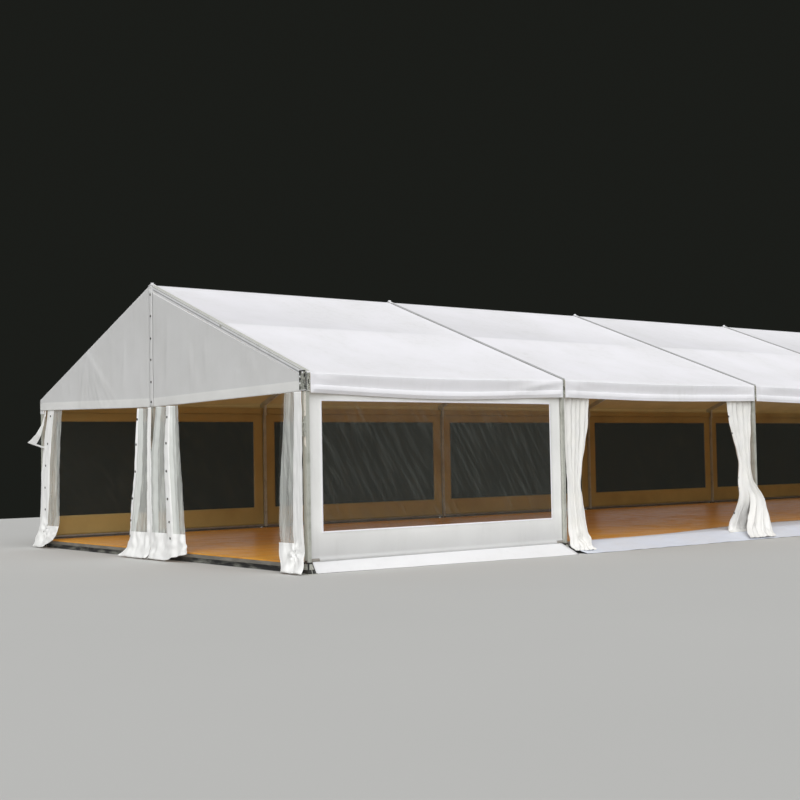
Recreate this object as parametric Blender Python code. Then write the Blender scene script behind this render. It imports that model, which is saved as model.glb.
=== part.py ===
"""Frame marquee, 9 m span, five 5 m bays: aluminium portal frames, PVC roof bays, clear-window walls.

Metres, +Z up. X runs along the ridge, the open gable is at -X and the open front is at -Y.
The origin is on the ground, under the middle of the marquee.
"""

import math

import bmesh
import bpy
from mathutils import Matrix, Vector

# Overall size
SPAN = 9.0
BAY = 5.0
BAY_COUNT = 5
EAVES_HEIGHT = 2.85
RIDGE_HEIGHT = 4.55
FIT = 0.0003

# Aluminium legs with keder grooves
LEG_WIDTH = 0.055
LEG_DEPTH = 0.10
GROOVE_WIDTH = 0.012
GROOVE_DEPTH = 0.008
FOOT_LENGTH = 0.24
FOOT_WIDTH = 0.16
FOOT_PLATE = 0.012
FOOT_CLEAR = 0.010
GUSSET_THICK = 0.010
GUSSET_SHOULDER = 0.012
GUSSET_BELOW_RAIL = 0.010

# Rafters, eaves brackets and ridge knuckle
RAFTER_DEPTH = 0.10
BRACKET_DEPTH = 0.15
BRACKET_HEIGHT = 0.30
KNUCKLE_REACH = 0.16

# Purlins
RIDGE_PURLIN = 0.05
MID_PURLIN_WIDTH = 0.06
MID_PURLIN_HEIGHT = 0.05
EAVES_PURLIN_WIDTH = 0.06
EAVES_PURLIN_HEIGHT = 0.10
EAVES_PURLIN_DROP = 0.15

# PVC roof, gable sheets and walls
SHEET = 0.006
FILM = 0.003
ROOF_SINK = 0.012
VALANCE_PROUD = 0.010
VALANCE_DROP = 0.33
GABLE_HEM_DROP = 0.305
GABLE_HEM_SAG = 0.045
GABLE_HEM_RISE = 0.075
GABLE_EDGE_LAP = 0.004
GABLE_SEAM = 0.09
WINDOW_BOTTOM = 0.58
WINDOW_DROP = 0.44
WINDOW_MARGIN = 0.24
FILM_LAP = 0.03
RAIL_DIAMETER = 0.048
RAIL_ABOVE_FLOOR = 0.011
RAIL_SIDES = 12
SKIRT_OUT = 0.42
SKIRT_CLEAR = 0.03

# Gable posts and rails
POST_DEPTH = 0.10
GABLE_RAIL_HEIGHT = 0.06

# Floor and the pale strip over its front edge
FLOOR_TOP = 0.15
STRIP_ON_FLOOR = 0.18
STRIP_FOOT_CLEAR = 0.03

# Curtains, drawn back: each is a plain soft solid
CURTAIN_SIDES = 16
CORNER_POWER = 0.6
CURTAIN_THICK = 0.075
LOW_THICK = 0.15
KNEE_THICK = 0.12
SWELL_THICK = 0.11
WAIST_HEIGHT = 1.10
SWELL_HEIGHT = 0.82
KNEE_HEIGHT = 0.55
LOW_SPREAD = 0.8
KNEE_SPREAD = 0.25
SWEPT_TOP = 0.66
SWEPT_WAIST = 0.24
SWEPT_WAIST_OFFSET = 0.24
SWEPT_FOOT = 0.76
SWEPT_TAIL = 0.58
PLAIN_TOP = 0.54
PLAIN_WAIST = 0.34
PLAIN_FOOT = 0.52
PLAIN_TAIL = 0.08
GABLE_MIDDLE_TOP = 1.26
GABLE_MIDDLE_FOOT = 2.30
GABLE_FRONT_WIDTH = 0.62
GABLE_BACK_WIDTH = 0.78
GABLE_FOOT_MORE = 0.06
POOL_HEIGHT = 0.10

HALF_SPAN = SPAN / 2
HALF_LENGTH = BAY * BAY_COUNT / 2
HALF_LEG = LEG_WIDTH / 2
LEG_TOP = EAVES_HEIGHT - BRACKET_HEIGHT
EAVES_PURLIN_TOP = EAVES_HEIGHT - EAVES_PURLIN_DROP
EAVES_PURLIN_BASE = EAVES_PURLIN_TOP - EAVES_PURLIN_HEIGHT
VALANCE_BOTTOM = EAVES_HEIGHT - VALANCE_DROP
WINDOW_TOP = EAVES_HEIGHT - WINDOW_DROP
GABLE_RAIL_BASE = EAVES_PURLIN_TOP - GABLE_RAIL_HEIGHT
GABLE_HEM_FRONT = EAVES_HEIGHT - GABLE_HEM_DROP
GABLE_HEM_MIDDLE = GABLE_HEM_FRONT - GABLE_HEM_SAG
GABLE_HEM_BACK = GABLE_HEM_FRONT + GABLE_HEM_RISE
GABLE_FACE = HALF_LEG + FIT
RAIL_HEIGHT = FLOOR_TOP + RAIL_ABOVE_FLOOR + RAIL_DIAMETER / 2
GUSSET_TOP = FLOOR_TOP + RAIL_ABOVE_FLOOR - GUSSET_BELOW_RAIL
FLOOR_SIDE = HALF_SPAN - FOOT_LENGTH / 2 - FOOT_CLEAR
SLOPE = math.atan2(RIDGE_HEIGHT - EAVES_HEIGHT, HALF_SPAN)
FRAME_X = [BAY * i - HALF_LENGTH for i in range(BAY_COUNT + 1)]
OPEN_FRONT_BAYS = range(1, BAY_COUNT - 1)

# Looks: colour, roughness and how metallic
WHITE_PVC = ((0.86, 0.86, 0.87, 1), 0.5, 0)
CLEAR_PVC = ((0.75, 0.78, 0.76, 0.3), 0.15, 0)
ALUMINIUM = ((0.50, 0.50, 0.48, 1), 0.45, 0.8)
WOOD_FLOOR = ((0.42, 0.22, 0.10, 1), 0.4, 0)
CURTAIN_CLOTH = ((0.82, 0.81, 0.78, 1), 0.8, 0)


def clear_scene():
    for obj in list(bpy.data.objects):
        bpy.data.objects.remove(obj, do_unlink=True)


def own_material(obj, look):
    colour, roughness, metallic = look
    material = bpy.data.materials.new(obj.name + "_material")
    material.use_nodes = True
    shader = material.node_tree.nodes["Principled BSDF"]
    shader.inputs["Base Color"].default_value = colour
    shader.inputs["Roughness"].default_value = roughness
    shader.inputs["Metallic"].default_value = metallic
    obj.data.materials.clear()
    obj.data.materials.append(material)


def new_object(name, mesh_maker):
    bm = bmesh.new()
    mesh_maker(bm)
    bmesh.ops.recalc_face_normals(bm, faces=bm.faces)
    mesh = bpy.data.meshes.new(name)
    bm.to_mesh(mesh)
    bm.free()
    obj = bpy.data.objects.new(name, mesh)
    bpy.context.scene.collection.objects.link(obj)
    return obj


def add_prism(bm, outline, direction):
    """Closes a flat outline of points into a solid, drawn out along a direction."""
    near = [bm.verts.new(point) for point in outline]
    far = [bm.verts.new(Vector(point) + Vector(direction)) for point in outline]
    bm.faces.new(near)
    bm.faces.new(far)
    for i in range(len(near)):
        j = (i + 1) % len(near)
        bm.faces.new((near[i], near[j], far[j], far[i]))


def add_box(bm, low, high, turn=None):
    """A box from its low corner to its high corner, turned about X round its own middle."""
    low, high = Vector(low), Vector(high)
    matrix = Matrix.Translation((low + high) / 2)
    if turn:
        matrix = matrix @ Matrix.Rotation(turn, 4, "X")
    matrix = matrix @ Matrix.Diagonal((*(high - low), 1))
    bmesh.ops.create_cube(bm, size=1, matrix=matrix)


def as_tool(obj):
    obj.hide_render = True
    obj.display_type = "WIRE"


def boolean(obj, other, operation):
    as_tool(other)
    modifier = obj.modifiers.new(other.name, "BOOLEAN")
    modifier.operation = operation
    modifier.object = other


def mirrored(points):
    """The points of one half of the span, followed by the other half's, as one outline in (y, z)."""
    return points + [(-y, z) for y, z in reversed(points) if y != 0]


def roof_line(y, below=0.0):
    """Height of the rafters' top face at y, or of a face below it, measured square to the slope."""
    return RIDGE_HEIGHT - abs(y) * math.tan(SLOPE) - below / math.cos(SLOPE)


def grooved_outline(width, depth):
    """Outline of a box section, width in x and depth in y, with a keder groove in each side."""
    w, d, g = width / 2, depth / 2, GROOVE_WIDTH / 2
    return [
        (-w, -d), (-g, -d), (-g, -d + GROOVE_DEPTH), (g, -d + GROOVE_DEPTH), (g, -d), (w, -d),
        (w, -g), (w - GROOVE_DEPTH, -g), (w - GROOVE_DEPTH, g), (w, g), (w, d),
        (g, d), (g, d - GROOVE_DEPTH), (-g, d - GROOVE_DEPTH), (-g, d), (-w, d),
        (-w, g), (-w + GROOVE_DEPTH, g), (-w + GROOVE_DEPTH, -g), (-w, -g),
    ]


def plate_mesh(bm, x, y):
    size = Vector((FOOT_WIDTH / 2, FOOT_LENGTH / 2, 0))
    add_box(bm, Vector((x, y, 0)) - size, Vector((x, y, FOOT_PLATE)) + size)


def gusset_mesh(bm, x, y, stem, foot, along_y):
    """A trapezium plate through a post, from the base plate up."""
    low, high = foot / 2 - GUSSET_SHOULDER, stem / 2 + GUSSET_SHOULDER
    base = FOOT_PLATE / 2
    half = GUSSET_THICK / 2
    shape = [(-low, base), (low, base), (high, GUSSET_TOP), (-high, GUSSET_TOP)]
    if along_y:
        add_prism(bm, [(x - half, y + s, z) for s, z in shape], (GUSSET_THICK, 0, 0))
    else:
        add_prism(bm, [(x + s, y - half, z) for s, z in shape], (0, GUSSET_THICK, 0))


def add_foot(obj, x, y, stem_width, stem_depth):
    """Gives a post its base plate and the two gussets that stiffen it."""
    name = obj.name
    plate = new_object(name + "_plate", lambda bm: plate_mesh(bm, x, y))
    long_gusset = new_object(
        name + "_long_gusset", lambda bm: gusset_mesh(bm, x, y, stem_depth, FOOT_LENGTH, True))
    cross_gusset = new_object(
        name + "_cross_gusset", lambda bm: gusset_mesh(bm, x, y, stem_width, FOOT_WIDTH, False))
    for piece in (plate, long_gusset, cross_gusset):
        boolean(obj, piece, "UNION")


def make_leg(name, x, y):
    def shape(bm):
        outline = grooved_outline(LEG_WIDTH, LEG_DEPTH)
        height = LEG_TOP - FOOT_PLATE / 2
        add_prism(bm, [(x + px, y + py, FOOT_PLATE / 2) for px, py in outline], (0, 0, height))

    leg = new_object(name, shape)
    add_foot(leg, x, y, LEG_WIDTH, LEG_DEPTH)
    own_material(leg, ALUMINIUM)


def eaves_purlin_box(side, extra=0.0):
    low = (-HALF_LENGTH - HALF_LEG - extra, side * HALF_SPAN - EAVES_PURLIN_WIDTH / 2 - extra,
           EAVES_PURLIN_BASE - extra)
    high = (HALF_LENGTH + HALF_LEG + extra, side * HALF_SPAN + EAVES_PURLIN_WIDTH / 2 + extra,
            EAVES_PURLIN_TOP + extra)
    return low, high


def mid_purlin_box(side, extra=0.0):
    y = side * HALF_SPAN / 2
    drop = ROOF_SINK + SHEET + FIT + MID_PURLIN_HEIGHT / 2
    middle = roof_line(y, drop)
    low = (-HALF_LENGTH - HALF_LEG - extra, y - MID_PURLIN_WIDTH / 2 - extra,
           middle - MID_PURLIN_HEIGHT / 2 - extra)
    high = (HALF_LENGTH + HALF_LEG + extra, y + MID_PURLIN_WIDTH / 2 + extra,
            middle + MID_PURLIN_HEIGHT / 2 + extra)
    return low, high


def ridge_purlin_box(extra=0.0):
    top = roof_line(RIDGE_PURLIN / 2, ROOF_SINK + SHEET) - FIT
    low = (-HALF_LENGTH - HALF_LEG - extra, -RIDGE_PURLIN / 2 - extra, top - RIDGE_PURLIN - extra)
    high = (HALF_LENGTH + HALF_LEG + extra, RIDGE_PURLIN / 2 + extra, top + extra)
    return low, high


def purlin_shapes(bm, extra=0.0):
    add_box(bm, *ridge_purlin_box(extra))
    for side in (-1, 1):
        add_box(bm, *mid_purlin_box(side, extra), turn=-side * SLOPE)
        add_box(bm, *eaves_purlin_box(side, extra))


def make_purlins():
    solids = {"ridge_purlin": lambda bm: add_box(bm, *ridge_purlin_box())}
    for side, where in ((-1, "front"), (1, "back")):
        solids["mid_purlin_" + where] = lambda bm, s=side: add_box(
            bm, *mid_purlin_box(s), turn=-s * SLOPE)
        solids["eaves_purlin_" + where] = lambda bm, s=side: add_box(bm, *eaves_purlin_box(s))
    for name, shape in solids.items():
        own_material(new_object(name, shape), ALUMINIUM)


def rafter_outline():
    """Both rafters of a frame with their eaves brackets and ridge knuckle, as one outline in (y, z)."""
    outer, inner = HALF_SPAN + BRACKET_DEPTH / 2, HALF_SPAN - BRACKET_DEPTH / 2
    top = mirrored([(outer, LEG_TOP + FIT), (outer, roof_line(outer)), (0, RIDGE_HEIGHT)])
    under = [
        (-inner, LEG_TOP + FIT), (-inner, roof_line(inner, RAFTER_DEPTH)),
        (-KNUCKLE_REACH, roof_line(KNUCKLE_REACH, RAFTER_DEPTH)),
        (KNUCKLE_REACH, roof_line(KNUCKLE_REACH, RAFTER_DEPTH)),
        (inner, roof_line(inner, RAFTER_DEPTH)), (inner, LEG_TOP + FIT),
    ]
    return top + under


def make_rafters(name, x, passages):
    outline = rafter_outline()
    rafters = new_object(name, lambda bm: add_prism(
        bm, [(x - HALF_LEG, y, z) for y, z in outline], (LEG_WIDTH, 0, 0)))
    boolean(rafters, passages, "DIFFERENCE")
    own_material(rafters, ALUMINIUM)


def roof_outline():
    """One roof bay's sheet with its two valances, as one outline in (y, z)."""
    outer = HALF_SPAN + BRACKET_DEPTH / 2 + VALANCE_PROUD
    inner = outer - SHEET
    over = mirrored([(outer, VALANCE_BOTTOM), (outer, roof_line(outer, ROOF_SINK)),
                     (0, roof_line(0, ROOF_SINK))])
    under = mirrored([(inner, VALANCE_BOTTOM), (inner, roof_line(inner, ROOF_SINK + SHEET)),
                      (0, roof_line(0, ROOF_SINK + SHEET))])
    return over + list(reversed(under))


def make_roof_bay(name, x_start):
    outline = roof_outline()
    start = x_start + HALF_LEG + FIT
    length = BAY - LEG_WIDTH - 2 * FIT
    roof = new_object(name, lambda bm: add_prism(
        bm, [(start, y, z) for y, z in outline], (length, 0, 0)))
    own_material(roof, WHITE_PVC)


def gable_outline():
    """A gable sheet's outline in (y, z). Its front half ends below the rafter, its back half laps over it."""
    front, back = HALF_SPAN - BRACKET_DEPTH / 2 - FIT, HALF_SPAN + BRACKET_DEPTH / 2
    seam = GABLE_SEAM / 2
    below = RAFTER_DEPTH + FIT
    return [
        (-front, GABLE_HEM_FRONT), (-front, roof_line(front, below)),
        (-seam, roof_line(seam, below)), (-seam, roof_line(seam, GABLE_EDGE_LAP)),
        (0, roof_line(0, GABLE_EDGE_LAP)), (back, roof_line(back, GABLE_EDGE_LAP)),
        (back, GABLE_HEM_BACK), (0, GABLE_HEM_MIDDLE),
    ]


def make_gable_sheet(name, end):
    outline = gable_outline()
    x = end * (HALF_LENGTH + GABLE_FACE)
    sheet = new_object(name, lambda bm: add_prism(
        bm, [(x, y, z) for y, z in outline], (end * SHEET, 0, 0)))
    own_material(sheet, WHITE_PVC)


def make_gable_post(name, end):
    """Centre post with the rail that crosses it at eaves height, behind the gable sheet."""
    outside = end * (HALF_LENGTH + HALF_LEG)
    inside = end * (HALF_LENGTH - HALF_LEG)
    low_x, high_x = min(outside, inside), max(outside, inside)
    middle_x = (low_x + high_x) / 2
    reach = HALF_SPAN - BRACKET_DEPTH / 2 - FIT
    top = roof_line(KNUCKLE_REACH, RAFTER_DEPTH) - FIT
    post = new_object(name, lambda bm: add_box(
        bm, (low_x, -POST_DEPTH / 2, FOOT_PLATE / 2), (high_x, POST_DEPTH / 2, top)))
    rail = new_object(name + "_rail", lambda bm: add_box(
        bm, (low_x, -reach, GABLE_RAIL_BASE),
        (high_x, reach, GABLE_RAIL_BASE + GABLE_RAIL_HEIGHT)))
    boolean(post, rail, "UNION")
    add_foot(post, middle_x, 0, high_x - low_x, POST_DEPTH)
    own_material(post, ALUMINIUM)


class WallLine:
    """A wall's own axes: s runs along it, t points out of the marquee and z is up."""

    def __init__(self, origin, along, outward):
        self.origin, self.along, self.outward = Vector(origin), Vector(along), Vector(outward)

    def point(self, s, t, z):
        return self.origin + self.along * s + self.outward * t + Vector((0, 0, z))

    def block(self, bm, low, high):
        (s0, t0, z0), (s1, t1, z1) = low, high
        outline = [self.point(s0, t0, z0), self.point(s0, t1, z0),
                   self.point(s0, t1, z1), self.point(s0, t0, z1)]
        add_prism(bm, outline, self.along * (s1 - s0))


def skirt_outline(line, s):
    """Section of a wall's flap below its rail, which spreads outwards onto the ground."""
    top = RAIL_HEIGHT
    return [
        line.point(s, -SHEET / 2, top), line.point(s, SHEET / 2, top),
        line.point(s, SKIRT_OUT, SHEET), line.point(s, SKIRT_OUT, 0),
        line.point(s, SKIRT_OUT - SHEET, 0),
        line.point(s, -SHEET / 2, top - SHEET),
    ]


def rail_outline(line, s):
    radius = RAIL_DIAMETER / 2
    turns = [2 * math.pi * i / RAIL_SIDES for i in range(RAIL_SIDES)]
    return [line.point(s, radius * math.cos(a), RAIL_HEIGHT + radius * math.sin(a)) for a in turns]


def make_wall(name, line, length, top):
    """A PVC wall with a window opening, its bottom rail in a pocket and its skirt on the ground."""
    wall = new_object(name, lambda bm: line.block(
        bm, (FIT, -SHEET / 2, RAIL_HEIGHT), (length - FIT, SHEET / 2, top - FIT)))
    rail = new_object(name + "_rail", lambda bm: add_prism(
        bm, rail_outline(line, FIT), line.along * (length - 2 * FIT)))
    clear = FOOT_LENGTH / 2 - POST_DEPTH / 2 + SKIRT_CLEAR
    skirt = new_object(name + "_skirt", lambda bm: add_prism(
        bm, skirt_outline(line, clear), line.along * (length - 2 * clear)))
    window = new_object(name + "_opening", lambda bm: line.block(
        bm, (WINDOW_MARGIN, -SHEET * 2, WINDOW_BOTTOM), (length - WINDOW_MARGIN, SHEET * 2, WINDOW_TOP)))
    boolean(wall, rail, "UNION")
    boolean(wall, skirt, "UNION")
    boolean(wall, window, "DIFFERENCE")
    own_material(wall, WHITE_PVC)
    return wall


def make_window_film(name, line, length):
    inner = -SHEET / 2 - FIT
    film = new_object(name, lambda bm: line.block(
        bm, (WINDOW_MARGIN - FILM_LAP, inner - FILM, WINDOW_BOTTOM - FILM_LAP),
        (length - WINDOW_MARGIN + FILM_LAP, inner, WINDOW_TOP + FILM_LAP)))
    own_material(film, CLEAR_PVC)


def make_side_walls():
    length = BAY - LEG_WIDTH
    for i in range(BAY_COUNT):
        x = FRAME_X[i] + HALF_LEG
        back = WallLine((x, HALF_SPAN, 0), (1, 0, 0), (0, 1, 0))
        make_wall(f"back_wall_{i + 1}", back, length, EAVES_PURLIN_BASE)
        make_window_film(f"back_window_{i + 1}", back, length)
        if i not in OPEN_FRONT_BAYS:
            front = WallLine((x, -HALF_SPAN, 0), (1, 0, 0), (0, -1, 0))
            make_wall(f"front_wall_{i + 1}", front, length, EAVES_PURLIN_BASE)
            make_window_film(f"front_window_{i + 1}", front, length)


def make_far_gable_walls():
    start = POST_DEPTH / 2
    length = HALF_SPAN - LEG_DEPTH / 2 - start
    shoulder = (BRACKET_DEPTH - LEG_DEPTH) / 2 + FIT
    for side, where in ((-1, "front"), (1, "back")):
        line = WallLine((HALF_LENGTH, side * start, 0), (0, side, 0), (1, 0, 0))
        wall = make_wall(f"gable_wall_{where}", line, length, GABLE_RAIL_BASE)
        low, high = (length - shoulder, -SHEET * 2, LEG_TOP), (length + shoulder, SHEET * 2, EAVES_HEIGHT)
        bracket_space = new_object(wall.name + "_bracket_space", lambda bm: line.block(bm, low, high))
        boolean(wall, bracket_space, "DIFFERENCE")
        make_window_film(f"gable_window_{where}", line, length)


def make_floor():
    """Raised timber floor, notched round the feet of the two gable posts."""
    notch_y = FOOT_LENGTH / 2 + FOOT_CLEAR
    notch_x = HALF_LENGTH - FOOT_WIDTH / 2 - FOOT_CLEAR
    outline = [
        (-HALF_LENGTH, -FLOOR_SIDE), (HALF_LENGTH, -FLOOR_SIDE),
        (HALF_LENGTH, -notch_y), (notch_x, -notch_y), (notch_x, notch_y), (HALF_LENGTH, notch_y),
        (HALF_LENGTH, FLOOR_SIDE), (-HALF_LENGTH, FLOOR_SIDE),
        (-HALF_LENGTH, notch_y), (-notch_x, notch_y), (-notch_x, -notch_y), (-HALF_LENGTH, -notch_y),
    ]
    floor = new_object("floor", lambda bm: add_prism(
        bm, [(x, y, 0) for x, y in outline], (0, 0, FLOOR_TOP)))
    own_material(floor, WOOD_FLOOR)


def strip_face(y):
    """Height of the entrance strip's upper face at y, in front of the floor's edge."""
    out = HALF_SPAN + SKIRT_OUT
    return SHEET + (FLOOR_TOP + FIT) * (out - abs(y)) / (out - FLOOR_SIDE)


def make_entrance_strip():
    """Pale strip along the open front bays, over the floor's edge and down to the ground."""
    out = HALF_SPAN + SKIRT_OUT
    top = FLOOR_TOP + FIT
    section = [
        (-FLOOR_SIDE + STRIP_ON_FLOOR, top), (-FLOOR_SIDE + STRIP_ON_FLOOR, top + SHEET),
        (-FLOOR_SIDE, top + SHEET), (-out, SHEET), (-out, 0), (-out + SHEET, 0),
        (-FLOOR_SIDE - FIT, top),
    ]
    first, last = OPEN_FRONT_BAYS[0], OPEN_FRONT_BAYS[-1] + 1
    clear = FOOT_WIDTH / 2 + STRIP_FOOT_CLEAR
    start, end = FRAME_X[first] + clear, FRAME_X[last] - clear
    strip = new_object("entrance_strip", lambda bm: add_prism(
        bm, [(start, y, z) for y, z in section], (end - start, 0, 0)))
    foot_front = HALF_SPAN + FOOT_LENGTH / 2 + STRIP_FOOT_CLEAR

    def foot_spaces(bm):
        for x in FRAME_X[first + 1:last]:
            add_box(bm, (x - clear, -foot_front, -FLOOR_TOP), (x + clear, -FLOOR_SIDE, FLOOR_TOP * 2))

    boolean(strip, new_object("strip_foot_spaces", foot_spaces), "DIFFERENCE")
    own_material(strip, WHITE_PVC)


def rounded(value):
    """Squares up a sine, so that a section is nearer a box with round corners than an ellipse."""
    limit = math.cos(math.pi / CURTAIN_SIDES)
    return math.copysign(min(abs(value) / limit, 1.0) ** CORNER_POWER, value)


def loft(bm, rows, foot_face=None):
    """A closed body through rounded sections, each (z, x_low, x_high, y_low, y_high), from the foot up.

    Where foot_face is given, the lowest section lies on it: it gives a height for each y.
    """
    rings = []
    for z, x0, x1, y0, y1 in rows:
        ring = []
        for i in range(CURTAIN_SIDES):
            angle = 2 * math.pi * (i + 0.5) / CURTAIN_SIDES
            x = (x0 + x1) / 2 + (x1 - x0) / 2 * rounded(math.cos(angle))
            y = (y0 + y1) / 2 + (y1 - y0) / 2 * rounded(math.sin(angle))
            height = foot_face(y) + 2 * FIT if foot_face and not rings else z
            ring.append(bm.verts.new((x, y, height)))
        rings.append(ring)
    bm.faces.new(rings[0])
    bm.faces.new(rings[-1])
    for lower, upper in zip(rings, rings[1:]):
        for i in range(CURTAIN_SIDES):
            j = (i + 1) % CURTAIN_SIDES
            bm.faces.new((lower[i], lower[j], upper[j], upper[i]))


def make_curtain(name, rows, foot_face=None):
    curtain = new_object(name, lambda bm: loft(bm, rows, foot_face))
    own_material(curtain, CURTAIN_CLOTH)


def front_curtain_rows(post_x, into_bay, swept):
    """Rows of a front curtain. It hangs beside its leg, and its foot spreads in front of the leg."""
    face = HALF_LEG + FIT
    waist_near = face + (SWEPT_WAIST_OFFSET if swept else 0)
    waist_far = waist_near + (SWEPT_WAIST if swept else PLAIN_WAIST)
    top_far = face + (SWEPT_TOP if swept else PLAIN_TOP)
    foot_far = SWEPT_FOOT if swept else PLAIN_FOOT
    foot_near = -SWEPT_TAIL if swept else -PLAIN_TAIL
    foot_front = -HALF_SPAN - SKIRT_OUT
    foot_back = -HALF_SPAN - FOOT_LENGTH / 2 - FOOT_CLEAR
    leg_front = -HALF_SPAN - LEG_DEPTH / 2 - FIT
    front, back = -HALF_SPAN - CURTAIN_THICK / 2, -HALF_SPAN + CURTAIN_THICK / 2
    half_purlin = EAVES_PURLIN_WIDTH / 2
    hang = EAVES_PURLIN_BASE - FIT
    pool_top = strip_face(foot_back) + POOL_HEIGHT

    def row(z, near, far, y_low, y_high):
        return (z, *sorted((post_x + into_bay * near, post_x + into_bay * far)), y_low, y_high)

    knee_far = (foot_far + waist_far) / 2
    return [
        row(0, foot_near, foot_far, foot_front, foot_back),
        row(pool_top, foot_near * LOW_SPREAD, foot_far, foot_back - LOW_THICK, foot_back),
        row(KNEE_HEIGHT, foot_near * KNEE_SPREAD, knee_far, leg_front - KNEE_THICK, leg_front),
        row(SWELL_HEIGHT, max(face, waist_near / 2), waist_far, leg_front - CURTAIN_THICK, leg_front),
        row(WAIST_HEIGHT, waist_near, waist_far, front, back),
        row(VALANCE_BOTTOM, face, top_far, front, back),
        row(hang, face, top_far, -HALF_SPAN - half_purlin, -HALF_SPAN + half_purlin),
    ]


def make_front_curtains():
    """One curtain at each leg of the open front bays. The outer two hang straight, the others are swept."""
    first, last = OPEN_FRONT_BAYS[0], OPEN_FRONT_BAYS[-1] + 1
    for index in range(first, last + 1):
        left_half = 2 * index < BAY_COUNT
        swept = index not in (first, last)
        into_bay = (-1 if swept else 1) * (1 if left_half else -1)
        rows = front_curtain_rows(FRAME_X[index], into_bay, swept)
        make_curtain(f"front_curtain_{index + 1}", rows, strip_face)


def gable_row(z, out_low, out_high, y_low, y_high):
    """A section of a gable curtain: out_low and out_high are how far it reaches out of the frame line."""
    return (z, -HALF_LENGTH - out_high, -HALF_LENGTH - out_low, *sorted((y_low, y_high)))


def make_gable_curtains():
    """The gable's two walls, drawn open: a bundle at each leg and one in front of the centre post."""
    foot_out = FOOT_WIDTH / 2 + FOOT_CLEAR
    pool_top = FLOOR_TOP + POOL_HEIGHT / 2
    hem = GABLE_HEM_MIDDLE - FIT
    full = hem - CURTAIN_THICK
    half_top, half_foot = GABLE_MIDDLE_TOP / 2, GABLE_MIDDLE_FOOT / 2
    half_low = half_foot * LOW_SPREAD
    make_curtain("gable_curtain_middle", [
        gable_row(0, foot_out, SKIRT_OUT, -half_foot, half_foot),
        gable_row(pool_top, foot_out, foot_out + LOW_THICK, -half_low, half_low),
        gable_row(SWELL_HEIGHT, GABLE_FACE, GABLE_FACE + SWELL_THICK, -half_top, half_top),
        gable_row(hem, GABLE_FACE, GABLE_FACE + CURTAIN_THICK, -half_top, half_top),
    ])
    leg_face = HALF_SPAN - LEG_DEPTH / 2 - FIT
    bracket_face = HALF_SPAN - BRACKET_DEPTH / 2 - FIT
    for side, where, width in ((-1, "front", GABLE_FRONT_WIDTH), (1, "back", GABLE_BACK_WIDTH)):
        inner = side * (leg_face - width)
        foot_inner = inner - side * GABLE_FOOT_MORE
        foot_outer = side * (HALF_SPAN - FOOT_LENGTH / 2 - FOOT_CLEAR)
        outer, top_outer = side * leg_face, side * bracket_face
        make_curtain(f"gable_curtain_{where}", [
            gable_row(0, foot_out, SKIRT_OUT, foot_inner, foot_outer),
            gable_row(pool_top, foot_out, foot_out + LOW_THICK, foot_inner, foot_outer),
            gable_row(SWELL_HEIGHT, 0, SWELL_THICK, inner, outer),
            gable_row(full, -HALF_LEG / 2, CURTAIN_THICK, inner, outer),
            gable_row(hem, -HALF_LEG / 2, HALF_LEG, inner, top_outer),
            gable_row(GABLE_RAIL_BASE - FIT, -HALF_LEG / 2, HALF_LEG, inner, top_outer),
        ])


def make_all():
    clear_scene()
    passages = new_object("purlin_passages", lambda bm: purlin_shapes(bm, FIT))
    for i, x in enumerate(FRAME_X):
        make_leg(f"front_leg_{i + 1}", x, -HALF_SPAN)
        make_leg(f"back_leg_{i + 1}", x, HALF_SPAN)
        make_rafters(f"rafters_{i + 1}", x, passages)
    make_purlins()
    for i in range(BAY_COUNT):
        make_roof_bay(f"roof_{i + 1}", FRAME_X[i])
    for end, where in ((-1, "near"), (1, "far")):
        make_gable_sheet(f"gable_sheet_{where}", end)
        make_gable_post(f"gable_post_{where}", end)
    make_side_walls()
    make_far_gable_walls()
    make_floor()
    make_entrance_strip()
    make_front_curtains()
    make_gable_curtains()


make_all()
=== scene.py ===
"""Looks of the frame marquee: PVC covers, clear windows, aluminium frame, boarded floor and drawn curtains.

Metres, +Z up. X runs along the ridge, the open gable is at -X and the open front is at -Y.
"""

import math

import bmesh
import bpy
import numpy as np
from mathutils import Matrix, Vector


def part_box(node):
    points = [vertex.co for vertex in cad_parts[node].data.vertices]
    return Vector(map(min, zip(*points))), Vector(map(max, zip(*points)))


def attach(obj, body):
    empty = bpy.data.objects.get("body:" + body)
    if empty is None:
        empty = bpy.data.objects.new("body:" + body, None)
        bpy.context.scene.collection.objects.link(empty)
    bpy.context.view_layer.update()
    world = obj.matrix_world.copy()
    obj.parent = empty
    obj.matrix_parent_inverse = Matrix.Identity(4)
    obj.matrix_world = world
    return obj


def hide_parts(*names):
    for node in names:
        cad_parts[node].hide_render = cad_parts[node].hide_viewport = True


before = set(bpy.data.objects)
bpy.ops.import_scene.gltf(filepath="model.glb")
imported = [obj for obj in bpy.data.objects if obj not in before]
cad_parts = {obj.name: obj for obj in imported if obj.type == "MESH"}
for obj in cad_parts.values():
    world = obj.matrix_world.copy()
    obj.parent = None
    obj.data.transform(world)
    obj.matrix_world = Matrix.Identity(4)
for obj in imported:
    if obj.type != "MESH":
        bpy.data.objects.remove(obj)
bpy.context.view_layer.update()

# Sizes read from the frame
RAFTERS_LOW, RAFTERS_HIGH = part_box("rafters_1")
ROOF_LOW, ROOF_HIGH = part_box("roof_1")
LEG_LOW, LEG_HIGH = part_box("front_leg_1")
FLOOR_LOW, FLOOR_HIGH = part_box("floor")
PURLIN_LOW, PURLIN_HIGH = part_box("eaves_purlin_front")
FILM_LOW, FILM_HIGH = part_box("front_window_1")
STRIP_LOW, STRIP_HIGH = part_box("entrance_strip")
BAY_COUNT = sum(name.startswith("roof_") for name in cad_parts)
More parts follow.
